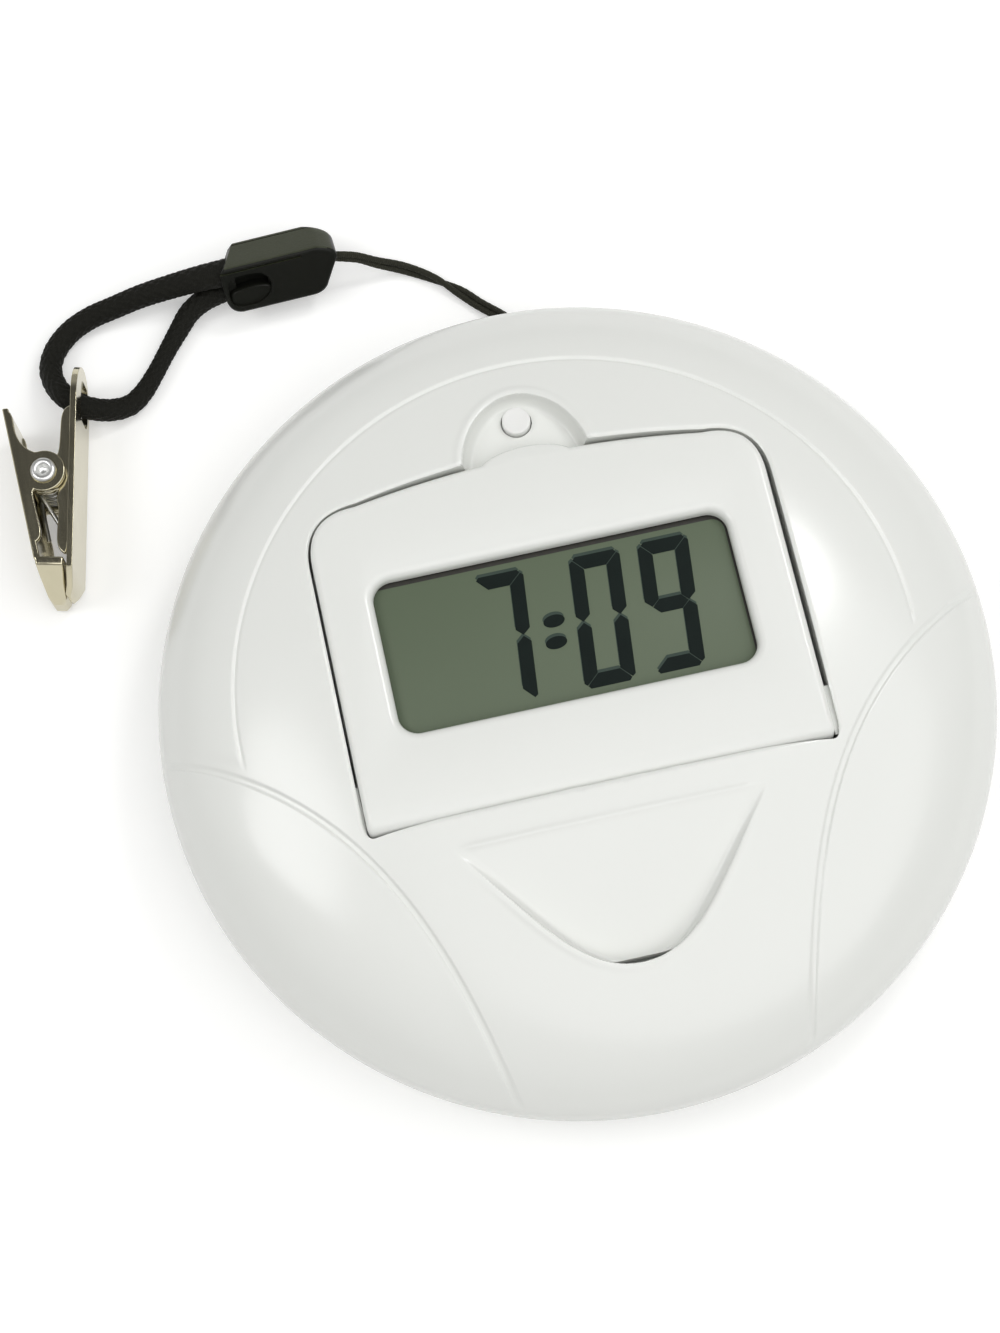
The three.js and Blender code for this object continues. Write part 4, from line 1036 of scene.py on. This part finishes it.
barrel_levels = [barrel * math.sin(math.radians(a)) for a in range(-40, 50, 10)]
edge_levels = [lid_top - rolled_edge * (1 - math.sin(math.radians(a))) for a in range(0, 91, 9)]
barrel_levels = [z for z in barrel_levels if lid_under < z < edge_levels[0] - 0.1]
lid = loft("lid_shell", [lid_level(z) for z in sorted([lid_under, *barrel_levels, *edge_levels])])
round_about = np.linspace(0, 2 * math.pi, 48, endpoint=False)
ellipse = [(thumb_half[0] * math.cos(a), thumb_half[1] * math.sin(a)) for a in round_about]
thumb_tab = loft("tongue", [
    at_height([(x * size, lid_shoulder + 0.2 + y * size) for x, y in ellipse], z) for size, z in thumb_levels
])
cut(lid, thumb_tab, "UNION")
pocket_outline = [(x, max(y, pocket_front)) for x, y in lid_outline(-pocket_wall)]
cut(lid, plate("lid_pocket", pocket_outline, lid_under - 1, pocket_roof))
print("lid:", len(lid.data.polygons), "faces before the window")

# %% Window of the lid


def window_level(wide, z):
    half = (window_half[0] + wide, window_half[1] + wide)
    return at_height(rounded_rectangle(window_centre, half, window_corner + wide), z)


flare = [window_rim * (1 - math.cos(math.radians(a))) for a in range(0, 91, 10)]
drop = [window_rim * (1 - math.sin(math.radians(a))) for a in range(0, 91, 10)]
rim_levels = zip(flare[1:] + flare[-1:], drop[1:] + [-0.5])
window_levels = [window_level(0, z) for z in (1.5, 2.6)]
window_levels += [window_level(wide, lid_top - deep) for wide, deep in rim_levels]
cut(lid, loft("window", window_levels))
place(lid, lid_place)
clean(lid)
finished(lid, white_plastic, "lid", "lid_frame", 40)
print("lid:", len(lid.data.polygons), "faces")

# %% [markdown]
# ## Display
# The display is a glass cell with a grey-green reflector behind it. Its segments are dark, and each throws a
# paler shadow on the reflector a little further back. The segments could be painted by nodes, but thin plates
# keep crisp mitred ends at every distance. A dark band of painted shade frames the cell. It stands in for the
# frame's shadow and the dark gap along the frame's inner wall, and shows behind and to the right.

# %% Segments of the display
digit_width, digit_height, digit_base = 6.2, 16.5, 8.2
stroke, slant = 1.72, 0.1
mitre, snip = 0.07, 0.75
digits = [(-10.35, "abc"), (1.45, "abcdef"), (9.85, "abcdfg")]
dot_places, dot_half = ((-1.1, 17.4), (-1.4, 14.7)), (1.3, 0.78)


def segment_shapes():
    """The seven segments of one digit, a to g, from its lower left corner."""
    w, h, t, m = digit_width, digit_height, stroke, mitre
    half = digit_height / 2
    top = [(snip, h), (w - snip, h), (w - snip / 2 - m, h - snip / 2), (w - t - m, h - t), (t + m, h - t),
           (snip / 2 + m, h - snip / 2)]
    upper_right = [(w, h - snip), (w, half + t / 2), (w - t / 2, half + m), (w - t, half + t / 2),
                   (w - t, h - t - m), (w - snip / 2, h - snip / 2 - m)]
    lower_right = [(x, digit_height - y) for x, y in upper_right][::-1]
    middle = [(t / 2 + m, half), (t + m, half + t / 2), (w - t - m, half + t / 2), (w - t / 2 - m, half),
              (w - t - m, half - t / 2), (t + m, half - t / 2)][::-1]
    bottom = [(x, digit_height - y) for x, y in top][::-1]
    upper_left = [(w - x, y) for x, y in upper_right][::-1]
    lower_left = [(w - x, y) for x, y in lower_right][::-1]
    return dict(zip("abcdefg", (top, upper_right, lower_right, bottom, lower_left, upper_left, middle)))


def dot(x, y):
    wide, high = dot_half
    turn = np.linspace(0, 2 * math.pi, 24, endpoint=False)
    return [(x + wide * math.cos(a) + slant * math.sin(a), y + high * math.sin(a)) for a in turn]


shapes = segment_shapes()
marks = [
    [(left + x + slant * (y - digit_height / 2), digit_base + y) for x, y in shapes[key]]
    for left, keys in digits for key in keys
]
marks += [dot(x, y) for x, y in dot_places]
print("segments and dots:", len(marks))

# %% Display panel
glass_top, glass_thick = 2.1, 2.8
glass_half, glass_bevel = (23.55, 11.55), 0.12
green_plan = rounded_rectangle((-1.35, 15.6), (22.75, 10.2), 1.5)
edge_lift, shadow_lift, ink_lift = 0.03, 0.02, 0.05
shadow_shift = (-0.04, 0.4)


def together(pieces, name):
    activate(pieces[0])
    for piece in pieces:
        piece.select_set(True)
    bpy.ops.object.join()
    return named(name)


# One look for the segments' ink, their shadows and the painted shade round the cell.
ink_and_shade_look = {"scales": (300, 4000), "roughness": (0.4, 0.5)}
display_film = surface("display_film", moulded, ((0.103, 0.131, 0.085), (0.129, 0.16, 0.107)),
                       scales=(22, 3000), roughness=(0.36, 0.46), Specular_IOR_Level=0.2)
segment_ink = surface("segment_ink", moulded, ((0.005, 0.009, 0.008), (0.008, 0.014, 0.012)),
                      Specular_IOR_Level=0.1, **ink_and_shade_look)
segment_shadow = surface("segment_shadow", moulded, ((0.042, 0.06, 0.05), (0.052, 0.073, 0.06)),
                         Specular_IOR_Level=0.1, **ink_and_shade_look)
# Painted shade: a dark band round the cell that stands in for the frame's shadow and the dark gap under it.
painted_edge_shade = surface("painted_edge_shade", moulded, ((0.012, 0.011, 0.008), (0.024, 0.021, 0.015)), **ink_and_shade_look)

glass_low = (-glass_half[0], window_centre[1] - glass_half[1], glass_top - glass_thick)
glass_high = (glass_half[0], window_centre[1] + glass_half[1], glass_top)
glass = box_block("display_glass", glass_low, glass_high)
edit(glass, "EDGE")
bpy.ops.mesh.select_all(action="SELECT")
bpy.ops.mesh.bevel(offset=glass_bevel * mm, segments=2, profile=0.5, affect="EDGES", clamp_overlap=True)
leave_edit()
glass.data.materials.append(display_film)
# The band of painted shade is the glass outline less the green area, so it shows behind and to the right.
edge_plan = [(x * 0.995, y) for x, y in rounded_rectangle(window_centre, glass_half, 0.4)]
edge = plate("display_edge", edge_plan, glass_top - 0.2, glass_top + edge_lift)
cut(edge, plate("green_area", green_plan, 0, 4))
edge.data.materials.clear()
edge.data.materials.append(painted_edge_shade)
display_pieces = [glass, edge]
for number, outline in enumerate(marks):
    shade_plan = [(x + shadow_shift[0], y + shadow_shift[1]) for x, y in outline]
    shade = plate(f"shade_{number}", shade_plan, glass_top - 0.1, glass_top + shadow_lift)
    ink = plate(f"ink_{number}", outline, glass_top - 0.1, glass_top + ink_lift)
    shade.data.materials.append(segment_shadow)
    ink.data.materials.append(segment_ink)
    display_pieces += [shade, ink]
display = together(display_pieces, "display_cell")
place(display, lid_place)
smooth(display, 30)
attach(display, "lid")
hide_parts("lcd_panel")
print("display:", len(display.data.polygons), "faces")

# %% [markdown]
# ## Well, setting buttons and knob
# Under the lid lies a shallow well with four setting buttons and a slide knob. It belongs to the same
# moulding as the top shell, and is made apart only because its walls are plain where the shell is fine. The
# buttons are turned once, with a rounded edge and a dished top, and copied.

# %% Well
well_floor, well_under, well_wall = 13.733, 12.133, 2.1
button_row = [("hour", -16.5), ("minute", -5.5), ("time", 5.5), ("alarm", 16.5)]
button_y, button_radius = 2.0, 3.0
knob_y, knob_half, knob_travel = 14.0, (2, 1.5), 2

well = plate("well_tray", lid_outline(well_wall) + (0, hinge_y), well_under, 24)
hollow_plan = lid_outline(lid_gap + 0.04, lid_front + front_overlap - 0.04) + (opening_shift, hinge_y)
cut(well, plate("well_hollow", hollow_plan, well_floor, 30))
cut(well, barrel_room(lid_side + 0.3))
dome_solid = turned("dome_solid", [(r * 0.99, z - 0.5) for r, z in outer_profile] + [(50.5, 2), (0, 2)], 128)
cut(well, dome_solid, "INTERSECT")
cut(well, plate("recess_room", recess_line * 1.03, recess_floor - 0.9, 30))
for _, x in button_row:
    cut(well, drum("button_hole", x, button_y, 10, 16, button_radius + fit))
knob_slot = rounded_rectangle((0, knob_y), (knob_half[0] + knob_travel + fit, knob_half[1] + fit), 0.4)
cut(well, plate("knob_slot", knob_slot, 10, 16))
clean(well)
finished(well, white_plastic, "case", "top_case")
print("well:", len(well.data.polygons), "faces")

# %% Buttons and knob
key_top, test_top = 14.93, 20.01
flange_under, test_under = 11.2, 16.4
flange_thick, flange_wide = 0.8, 0.75
grip_half, grip_depth = 0.2, 0.4
slide_half = (6.75, 2.2)


def rounded_cap(radius, under, top, dish=0.08, edge=0.4):
    """Profile of a push button: flange under the panel, wall, rounded edge and a slightly dished top."""
    turn = [math.radians(a) for a in range(0, 91, 15)]
    rim = [(radius - edge + edge * math.cos(a), top - edge + edge * math.sin(a)) for a in turn]
    hollow = [((radius - edge) * s, top - dish * (1 - s * s)) for s in (0.8, 0.6, 0.4, 0.2, 0)]
    flange = radius + flange_wide
    foot = [(0, under), (flange, under), (flange, under + flange_thick), (radius, under + flange_thick)]
    return foot + rim + hollow


def copied(piece, name):
    activate(piece)
    bpy.ops.object.duplicate()
    return named(name)


cap = turned("hour_key", rounded_cap(button_radius, flange_under, key_top), 48)
caps = [cap] + [copied(cap, f"{name}_key") for name, _ in button_row[1:]]
for piece, (name, x) in zip(caps, button_row):
    place(piece, Matrix.Translation((x * mm, button_y * mm, 0)))
    finished(piece, grey_button, f"{name}_key", f"{name}_button")

test_cap = turned("test_key", rounded_cap(test_radius, test_under, test_top, dish=0.04, edge=0.22), 48)
place(test_cap, Matrix.Translation((0, test_y * mm, 0)))
finished(test_cap, button_plastic, "test_key", "test_button")


def knob_block(name, half, top):
    low = (-half[0], knob_y - half[1], flange_under)
    return box_block(name, low, (half[0], knob_y + half[1], top))


knob = knob_block("mode_grip", knob_half, key_top)
for x in (-1.0, 0.0, 1.0):
    low, high = (x - grip_half, knob_y - 2, key_top - grip_depth), (x + grip_half, knob_y + 2, key_top + 1)
    cut(knob, box_block("grip_groove", low, high))
bevel(knob, 0.12, 40)
mode_knob = together([knob, knob_block("mode_plate", slide_half, flange_under + flange_thick)], "mode_grip")
finished(mode_knob, dark_plastic, "mode_slider", "mode_knob")
flatten(mode_knob)
print("keys:", [piece.name for piece in caps], test_cap.name, mode_knob.name)

# %% [markdown]
# ## Bottom case and battery door
# The underside is a plain bowl with a flat foot, four deep screw holes, a pocket under the rear rim for the
# cord's pin, and a bay for two cells with a door. A bowl is spun from its profile, and the square forms are
# cut out of it. The door is cut from the same bowl, so its front follows the curve of the case.

# %% Bowl
bowl_foot, bowl_reach, bowl_height = 38, 13, 9.7
bay_half, bay_front, bay_rear, bay_roof = 25.15, -40, -18.1, 13.5
bay_wall, pocket_wall_out = 1.2, 1.6
pocket_low, pocket_high = (1.2, 42.5, 4.2), (8.4, 54, 7.6)
screw_ring, screw_angles = 42, np.radians((-35, 41, 139, 215))
screw_places = [(screw_ring * math.cos(a), screw_ring * math.sin(a)) for a in screw_angles]
post_radius, head_radius, shank_radius = 3.45, 2.45, 1.35


def bowl_curve(foot, reach, low, high, count=18):
    turn = np.linspace(0, math.pi / 2, count)
    return [(foot + reach * math.sin(a), low + (high - low) * (1 - math.cos(a))) for a in turn]


def bowl_solid(name, lift=0.0):
    """The outer bowl, closed off above by the underside of the dome."""
    cap_profile = [(r * 0.955, z - 2.4) for r, z in outer_profile if r < 50][::-4]
    outside = [(r, z + lift) for r, z in bowl_curve(bowl_foot, bowl_reach, 0, bowl_height)]
    return turned(name, [(0, lift)] + outside + cap_profile + [(0, 21.2)], 160)


bowl_outside = bowl_curve(bowl_foot, bowl_reach, 0, bowl_height)
lip = [(50.9, 9.78), (50.7, 9.8), (48.5, 9.8), (48.4, 9.9),
       (48.4, 11.1), (48.3, 11.2), (47.3, 11.2), (47.2, 11.1)]
bowl_inside = bowl_curve(37, 10.2, 2, 8)[::-1]
bowl_profile = [(0, 0)] + bowl_outside + lip + bowl_inside + [(0, 2)]
bottom = turned("bottom_bowl", bowl_profile, 192)

bay_box = box_block("bay_box", (-bay_half - bay_wall, bay_front - bay_wall, 0),
                    (bay_half + bay_wall, bay_rear + bay_wall, bay_roof + bay_wall))
cut(bay_box, bowl_solid("bay_limit"), "INTERSECT")
cut(bottom, bay_box, "UNION")
pocket_box = box_block("pocket_box", (pocket_low[0] - pocket_wall_out, pocket_low[1] - pocket_wall_out, 2),
                       (pocket_high[0] + pocket_wall_out, 51, pocket_high[2] + pocket_wall_out))
cut(pocket_box, bowl_solid("pocket_limit"), "INTERSECT")
cut(bottom, pocket_box, "UNION")
for x, y in screw_places:
    post = drum("screw_post", x, y, 0, 5.7, post_radius)
    cut(post, bowl_solid("post_limit"), "INTERSECT")
    cut(bottom, post, "UNION")
bay_plan = rounded_rectangle((0, (bay_front + bay_rear) / 2), (bay_half, (bay_rear - bay_front) / 2), 0.8)
cut(bottom, plate("bay_room", bay_plan, -2, bay_roof))
cut(bottom, box_block("cord_pocket", pocket_low, pocket_high))
for x, y in screw_places:
    cut(bottom, drum("head_hole", x, y, -1, 3, head_radius))
    cut(bottom, drum("shank_hole", x, y, -1, 8, shank_radius))
clean(bottom)
finished(bottom, white_plastic, "case", "bottom_case", 30)
flatten(bottom)
print("bottom case:", len(bottom.data.polygons), "faces")

# %% Battery door
door_recess, door_gap, door_thick = 0.4, 0.3, 2
cell_rows, cell_height, cell_room = (-23.5, -34.3), 7.8, 5.4
tab_half, tab_reach = 3, 1.2
door = bowl_solid("battery_cover", door_recess)
door_half = (bay_half - door_gap, (bay_rear - bay_front) / 2 - door_gap)
door_plan = rounded_rectangle((0, (bay_front + bay_rear) / 2), door_half, 0.6)
cut(door, plate("door_limit", door_plan, -1, 7.5), "INTERSECT")
cut(door, bowl_solid("door_hollow", door_recess + door_thick))
for row in cell_rows:
    bed = drum("cell_bed", 0, 0, -bay_half, bay_half, cell_room, 64)
    place(bed, Matrix.Translation((0, row * mm, cell_height * mm)) @ Matrix.Rotation(math.pi / 2, 4, "Y"))
    cut(door, bed)
for x in (-bay_half / 2, bay_half / 2):
    tab_low = (x - tab_half, bay_rear - 2, door_recess + 1)
    tab_high = (x + tab_half, bay_rear + tab_reach, door_recess + door_thick)
    cut(door, box_block("door_tab", tab_low, tab_high), "UNION")
clean(door)
bevel(door, 0.18, 60)
finished(door, white_plastic, "door", "battery_door", 30)
flatten(door)
print("door:", len(door.data.polygons), "faces")

# %% [markdown]
# ## Strap joiner
# A small black moulding joins the braided loop to the thin cord. Its far end is rounded off, a narrow step
# runs along the ridge between its satin top and its dark front, and a thumb hollow with a tongue lies near
# the braid. The top is rougher than the front, and its lighter colour is a painted sheen. It is drawn as one
# body and then parted, so that both halves share one curve.

# %% Outlines of the joiner
joiner_half = (7.6, 3.2, 3.45)
joiner_place = (Matrix.Translation(Vector((-24.6, 66.3, 4.9)) * mm) @ Matrix.Rotation(math.radians(2), 4, "Z")
                @ Matrix.Rotation(math.radians(-35), 4, "X"))
rear_round, edge_soft = 2.4, 0.45
ridge_step_low, ridge_step_high = (-9, -3.5, 2.65), (3.2, -2.75, 2.87)
thumb_outline = [(-6.9, -1.8), (-5.6, -2.5), (-3.2, -2.5), (-1.5, -1.3),
                 (-1.2, 0.6), (-2.4, 2.0), (-5.6, 2.1), (-6.9, 1.3)]
deep_outline = [(-5.8, -0.9), (-1.7, -0.9), (-1.4, 0.7), (-2.4, 1.9), (-5.4, 1.95), (-5.8, 1.2)]
thumb_floor, deep_floor, before_joiner = -2.15, -0.9, -5.0
tongue_outline = [(-7.0, -2.1), (-5.6, -2.8), (-3.2, -2.8), (-1.1, -1.4),
                  (-1.3, -0.3), (-3.6, 0.1), (-6.9, -0.3)]
tongue_x, tongue_z = -4.2, -1.1
tongue_levels = [(-2.9, 0.86), (-2.75, 0.95), (-2.45, 1.0), (-1.5, 0.9), (-0.6, 0.8)]
split_low, split_high = 2.29, 2.44
# Faces turned up and lying near the top get the satin material, whose lighter colour is a painted sheen.
satin_and_sheen_from, satin_and_sheen_tilt = joiner_half[2] - 1.2, 0.75


def run_smoothly(points, rounds=2):
    """Cuts the corners of a closed outline again and again until it runs smoothly."""
    line = np.array(points, float)
    for _ in range(rounds):
        after = np.roll(line, -1, axis=0)
        line = np.stack([0.8 * line + 0.2 * after, 0.2 * line + 0.8 * after], axis=1).reshape(-1, 2)
    return line


def joiner_level(y, drawn_in):
    """The outline at one depth: rounded off behind, and sloping at the end with the braid."""
    length, depth, height = joiner_half
    over = max(0, y - (depth - rear_round))
    reach = length - (rear_round - math.sqrt(rear_round ** 2 - over ** 2))
    slope = -length + 0.3 * (y + depth)
    plan = np.vstack([
        bend([(slope, 2.3 - height), (slope + 0.15, -height), (slope + 2.3, -height)], 8),
        bend([(reach - 3.9, -height), (reach - 2.0, -height), (reach - 1.5, 1.8 - height)], 10),
        bend([(reach + 0.1, height - 2.2), (reach + 0.5, height - 0.7), (reach - 2.2, height)], 10),
        [(reach - 2.2, height), (slope + 0.7, height), (slope, height - 0.7)],
    ])
    span = np.array([length, height])
    return [(x, y, z) for x, z in plan * (span - drawn_in) / span]


def tongue_level(y, size):
    return [(tongue_x + (x - tongue_x) * size, y, tongue_z + (z - tongue_z) * size)
            for x, z in run_smoothly(tongue_outline)]


edge_turn = [math.radians(a) for a in range(0, 91, 18)]
front_levels = [(-joiner_half[1] + edge_soft * (1 - math.cos(a)), edge_soft * (1 - math.sin(a)))
                for a in edge_turn]
rear_levels = [(joiner_half[1] - edge_soft * (1 - math.sin(a)), edge_soft * (1 - math.cos(a)))
               for a in edge_turn]
joiner_levels = front_levels + [(y, 0) for y in (-1.5, 0.5, 1.2, 1.7, 2.1, 2.5)] + rear_levels
print("joiner:", len(joiner_levels), "levels")

# %% Joiner in two halves
joiner = loft("joiner", [joiner_level(y, drawn_in) for y, drawn_in in joiner_levels])
cut(joiner, box_block("ridge_step", ridge_step_low, ridge_step_high))
hollows = (("thumb_hollow", thumb_outline, thumb_floor), ("thumb_deep", deep_outline, deep_floor))
for name, outline, floor in hollows:
    plan = run_smoothly(outline)
    cut(joiner, loft(name, [[(x, y, z) for x, z in plan] for y in (before_joiner, floor)]))
cut(joiner, loft("joiner_tongue", [tongue_level(y, size) for y, size in tongue_levels]), "UNION")
halves = []
parting = (("joiner_shell", "joiner_body", -9, split_low), ("joiner_lid", "joiner_cover", split_high, 9))
for name, node, low, high in parting:
    half = copied(joiner, name)
    cut(half, box_block("keep", (-20, low, -20), (20, high, 20)), "INTERSECT")
    clean(half)
    bevel(half, 0.12, 38)
    finished(half, joiner_plastic, "case", node, 40)
    half.data.materials.append(joiner_satin_and_sheen)
    # Upward faces take the satin top. It is really rougher, and its lighter colour is a painted sheen.
    for face in half.data.polygons:
        face.material_index = int(face.normal.z > satin_and_sheen_tilt and face.center.z > satin_and_sheen_from * mm)
    place(half, joiner_place)
    flatten(half)
    halves.append(half)
bpy.data.objects.remove(joiner)
print("joiner:", [len(half.data.polygons) for half in halves], "faces")

# %% [markdown]
# ## Spring clip
# The clip is two pressings of plated sheet on a hollow rivet, with a coil spring round it. Each pressing is a
# back plate with two ears bent off it. The ears are plates with smoothly run outlines, the back plates are
# cut to their side view, and a fine bevel gives every cut edge the bright line of real sheet.

# %% Outlines of the clip
clip_place = (Matrix.Translation(Vector((-58.5, 43.4, 0.6)) * mm)
              @ Matrix.Rotation(math.radians(-13.5), 4, "Z"))
clip_width, sheet, ear_gap = 10, 0.8, 0.3
lobe_radius, rivet_radius = 2.7, 1.1
long_ear_points = [(1.6, -3.4), (2, -4.4), (2, -8.7), (2.4, -10), (3.6, -10.8),
                   (3.3, 4.5), (3, 9.6), (1.5, 8.4), (1.6, 3.6)]
short_ear_points = [(-1, -3.6), (-0.7, -4.7), (0.2, -7.8), (0.2, -8.8), (-0.7, -9.8), (-5.7, 8.1),
                    (-4.6, 7.7), (-4.2, 6.4), (-3.9, 5.0), (-3.2, 3.7), (-2.3, 2.9)]
long_strip = [(2.5, 16), (3.65, -12.4), (3.4, -14.2), (3.1, -15),
              (3.6, -15.4), (4.1, -14.4), (4.4, -12.6), (3.3, 16)]
long_end = [(10.5 + 5 * math.cos(a), 5 + 5 * math.sin(a)) for a in np.radians(np.linspace(-90, 90, 19))]
long_view = [(-15.3, 3), (-12.5, 0), *long_end, (-12.5, 10), (-15.3, 6)]
slot_view = rounded_rectangle((11, 4), (2.7, 2.7), 1.5)
short_strip = [(-5.8, 8.2), (-0.5, -11.6), (0.35, -11.6), (-5, 8.3)]
nose_strip = [(-0.5, -11.2), (0, -13.2), (0.5, -14.8), (1.1, -15.5),
              (2.2, -15.5), (2.8, -14.8), (3.2, -12.5), (3.2, -11.2)]
nose_view = [(-11, 0), (-11, 10), (-12.3, 10), (-15.4, 3), (-15.4, 0)]


def evenly(outline, step):
    """The same closed outline with its points about one step apart."""
    ring = closed(outline)
    run = np.concatenate([[0], np.cumsum(np.linalg.norm(np.diff(ring, axis=0), axis=1))])
    places = np.linspace(0, run[-1], int(run[-1] / step), endpoint=False)
    return np.stack([np.interp(places, run, ring[:, axis]) for axis in (0, 1)], axis=1)


def ear(name, points, lobe_from, lobe_to, low, high):
    sweep_angle = np.radians(np.linspace(lobe_from, lobe_to, 22))
    lobe = [(lobe_radius * math.cos(a), lobe_radius * math.sin(a)) for a in sweep_angle]
    piece = plate(name, evenly(run_smoothly(points + lobe), 0.4), low, high)
    bevel(piece, 0.15, 50, 3)
    cut(piece, drum("rivet_hole", 0, 0, low - 1, high + 1, rivet_radius + fit, 32))
    return piece


def side_view(name, outline):
    """A solid across the whole clip from points (along the clip, up it)."""
    return loft(name, [[(x, y, z) for y, z in outline] for x in (-9, 9)])


print("clip:", len(long_ear_points), "and", len(short_ear_points), "points for the ears")

# %% Clip jaws
long_jaw = plate("long_jaw", long_strip, 0, clip_width)
cut(long_jaw, side_view("long_view", long_view), "INTERSECT")
bevel(long_jaw, 0.34, 50, 3)
cut(long_jaw, side_view("loop_slot", slot_view))
for low in (sheet + ear_gap, clip_width - 2 * sheet - ear_gap):
    cut(long_jaw, ear("long_ear", long_ear_points, 60, 315, low, low + sheet), "UNION")

short_jaw = plate("short_jaw", short_strip, 0, clip_width)
bevel(short_jaw, 0.2, 50, 3)
nose_block = plate("jaw_nose", nose_strip, 0, clip_width)
cut(nose_block, side_view("nose_slope", nose_view), "INTERSECT")
bevel(nose_block, 0.25, 50, 3)
cut(short_jaw, nose_block, "UNION")
for low in (0, clip_width - sheet):
    cut(short_jaw, ear("short_ear", short_ear_points, 117, -117, low, low + sheet), "UNION")
for jaw, body, node in ((long_jaw, "case", "clip_long_jaw"), (short_jaw, "clip_lever", "clip_short_jaw")):
    clean(jaw, 0.01 * mm)
    place(jaw, clip_place)
    finished(jaw, bright_nickel, body, node, 40)
    flatten(jaw)
print("jaws:", len(long_jaw.data.polygons), len(short_jaw.data.polygons), "faces")

# %% Rivet and spring
rivet_turn = [math.radians(a) for a in range(0, 181, 30)]
rivet_top = [(1.15 + 0.45 * math.cos(a), 10.25 + 0.35 * math.sin(a)) for a in rivet_turn]
rivet_low = [(1.15 - 0.45 * math.cos(a), -0.25 - 0.35 * math.sin(a)) for a in rivet_turn]
rivet_profile = [(0, 9.8), (0.4, 9.82), (0.62, 10.0)] + rivet_top[::-1]
rivet_profile += [(rivet_radius, 10.1), (rivet_radius, -0.1)] + rivet_low[::-1]
rivet_profile += [(0.62, 0.0), (0.4, 0.18), (0, 0.2)]
rivet = turned("hollow_rivet", rivet_profile, 40)
place(rivet, clip_place)
finished(rivet, rivet_metal, "case", "clip_rivet", 50)

coil_low, coil_rise, coil_turns = 2.6, 4.8, 4
coil_radius, wire_radius, coil_points = 2, 0.3, 120
coil_angle = np.linspace(0, 2 * math.pi * coil_turns, coil_points) + math.pi
coil = [(coil_radius * math.cos(a), coil_radius * math.sin(a), coil_low + coil_rise * i / (coil_points - 1))
        for i, a in enumerate(coil_angle)]
spring_points = [(-0.1, -7, coil_low)] + coil + [(2.5, -7, coil_low + coil_rise)]
spring_line, _ = smooth_route(spring_points, 420)
spring = rolled_tube("coil_spring", spring_line, wire_radius, 12, lambda u, v: 0 * u)
place(spring, clip_place)
finished(spring, plated_steel, "case", "clip_spring", 60)
print("spring:", len(spring.data.polygons), "faces")
